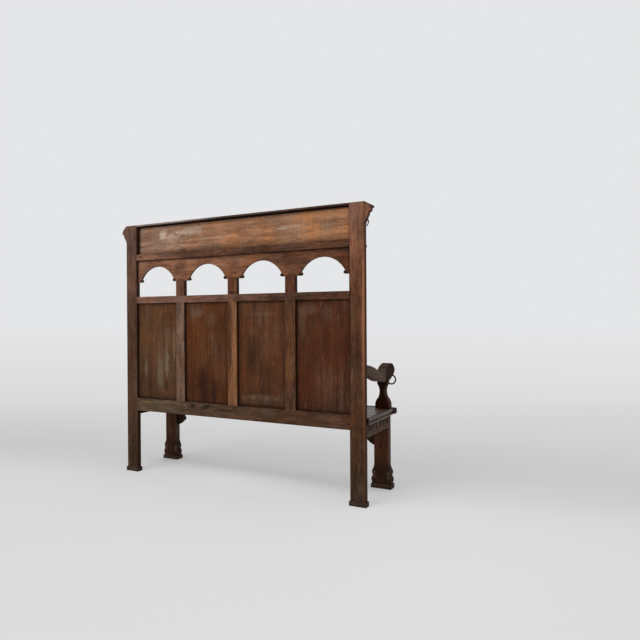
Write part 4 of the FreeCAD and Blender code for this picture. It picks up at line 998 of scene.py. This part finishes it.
# a painted shadow under the bench, where the occlusion finds it shut in
shut_in = ground.add("ShaderNodeAmbientOcclusion", {"Distance": 0.75}, samples=8).outputs["AO"]
painted_shadow = ground.math("MULTIPLY", ground.between(shut_in, 0.30, 0.72, 0.5, 0.0),
                      ground.between(ground.axis("Y"), 0.12, -0.05))
glow_colour = ground.mix(painted_shadow, glow_colour, SHADOW_GREY)
from_pool = ground.vector("DIVIDE", ground.vector("SUBTRACT", ground.place, POOL_MIDDLE), POOL_SIZE)
pool = ground.between(ground.vector("LENGTH", from_pool), 0.2, 1.15, 0.6, 0.0)
glow_colour = ground.mix(pool, glow_colour, POOL_LIGHT)
glow_colour = ground.mix(outside, glow_colour, backdrop)
glow = ground.add("ShaderNodeEmission", {"Color": glow_colour, "Strength": 1.0})

both = ground.add("ShaderNodeMixShader", {0: far, 1: skin.outputs[0], 2: glow.outputs[0]})
ground.add("ShaderNodeOutputMaterial", {"Surface": both.outputs[0]})
print("nodes of the floor:", len(ground.tree.nodes))

# %% Lay the floor
FLOOR_REACH = 60.0
floor_mesh = bpy.data.meshes.new("studio_floor")
corners = [(x * FLOOR_REACH, y * FLOOR_REACH, 0) for x, y in ((-1, -1), (1, -1), (1, 1), (-1, 1))]
floor_mesh.from_pydata(corners, [], [(0, 1, 2, 3)])
floor_mesh.materials.append(ground.material)
floor = bpy.data.objects.new("studio_floor", floor_mesh)
scene.collection.objects.link(floor)
print("the floor is", 2 * FLOOR_REACH, "m wide")

# %% [markdown]
# ## The world
# The camera sees an even pale backdrop, and so does everything that mirrors it. If that backdrop
# lit the bench as well, every shadow would fill up and the oak would look flat. So the light
# path node parts the two: rays from the camera and mirrored rays get the backdrop, and all other
# rays get a weak, slightly cool light.

# %% Backdrop and weak light
AMBIENT_TINT = (0.97, 0.985, 1.0, 1.0)
AMBIENT_STRENGTH = 0.28
world = bpy.data.worlds.new("studio")
scene.world = world
world.use_nodes = True
sky = world.node_tree
sky.nodes.clear()
rays = sky.nodes.new("ShaderNodeLightPath")


def larger(first, second):
    node = sky.nodes.new("ShaderNodeMath")
    node.operation = "MAXIMUM"
    sky.links.new(first, node.inputs[0])
    sky.links.new(second, node.inputs[1])
    return node.outputs[0]


def background(colour, strength):
    node = sky.nodes.new("ShaderNodeBackground")
    node.inputs["Color"].default_value = colour
    node.inputs["Strength"].default_value = strength
    return node.outputs[0]


mirrored = larger(rays.outputs["Is Glossy Ray"], rays.outputs["Is Transmission Ray"])
either = sky.nodes.new("ShaderNodeMixShader")
sky.links.new(larger(rays.outputs["Is Camera Ray"], mirrored), either.inputs[0])
sky.links.new(background(AMBIENT_TINT, AMBIENT_STRENGTH), either.inputs[1])
sky.links.new(background(backdrop, 1.0), either.inputs[2])
sky.links.new(either.outputs[0], sky.nodes.new("ShaderNodeOutputWorld").inputs["Surface"])
print("nodes of the world:", len(sky.nodes))

# %% [markdown]
# ## Lamps
# The shadows in the photograph are soft and fall away from the camera, so the main light is a
# large sheet high up behind the camera and to its left. A second sheet above the bench keeps the
# seat and the arms from going black. A sun lamp would give hard shadows. Area lamps are chosen
# because their size sets how soft the shadow is.

# %% Hang the lamps
LAMP_TINT = (1.0, 0.99, 0.97)


def area_lamp(name, place, target, size, watts):
    lamp = bpy.data.lights.new(name, "AREA")
    lamp.shape = "SQUARE"
    lamp.size = size
    lamp.energy = watts
    lamp.color = LAMP_TINT
    hung = bpy.data.objects.new(name, lamp)
    hung.location = place
    aim = Vector(target) - Vector(place)
    hung.rotation_euler = aim.to_track_quat("-Z", "Y").to_euler()
    scene.collection.objects.link(hung)


area_lamp("key_lamp", (2.2, 6.2, 5.4), (0.0, 0.1, 0.9), size=4.5, watts=330)
area_lamp("top_lamp", (-0.8, 0.6, 6.5), (0.0, 0.0, 0.5), size=5.0, watts=140)

# %% [markdown]
# ## The camera
# The photograph was taken standing behind the left end of the bench, at about one metre's height,
# with the camera level. Place, turn and lens were found by matching the corners of the back.
# A matrix sets the camera exactly: its columns are the directions to its right, upwards and
# backwards. Rotating it by hand until the picture fits would leave small errors in the lean.

# %% Place the camera
CAMERA_PLACE = (-1.9977, 3.0165, 1.0065)
TURN, TILT, LEAN = (math.radians(angle) for angle in (27.106, -0.244, -0.314))
camera_data = bpy.data.cameras.new("camera")
camera_data.sensor_width = 36.0
camera_data.lens = 31.70
camera = bpy.data.objects.new("camera", camera_data)
scene.collection.objects.link(camera)
scene.camera = camera
ahead = Vector((math.sin(TURN) * math.cos(TILT), -math.cos(TURN) * math.cos(TILT), math.sin(TILT)))
level = Vector((-math.cos(TURN), -math.sin(TURN), 0.0))
upward = level.cross(ahead)
right = level * math.cos(LEAN) + upward * math.sin(LEAN)
above = upward * math.cos(LEAN) - level * math.sin(LEAN)
facing = Matrix((right, above, -ahead)).transposed()
camera.matrix_world = Matrix.Translation(Vector(CAMERA_PLACE)) @ facing.to_4x4()
scene.view_settings.view_transform = "Standard"
print("the camera looks along", [round(value, 3) for value in ahead])
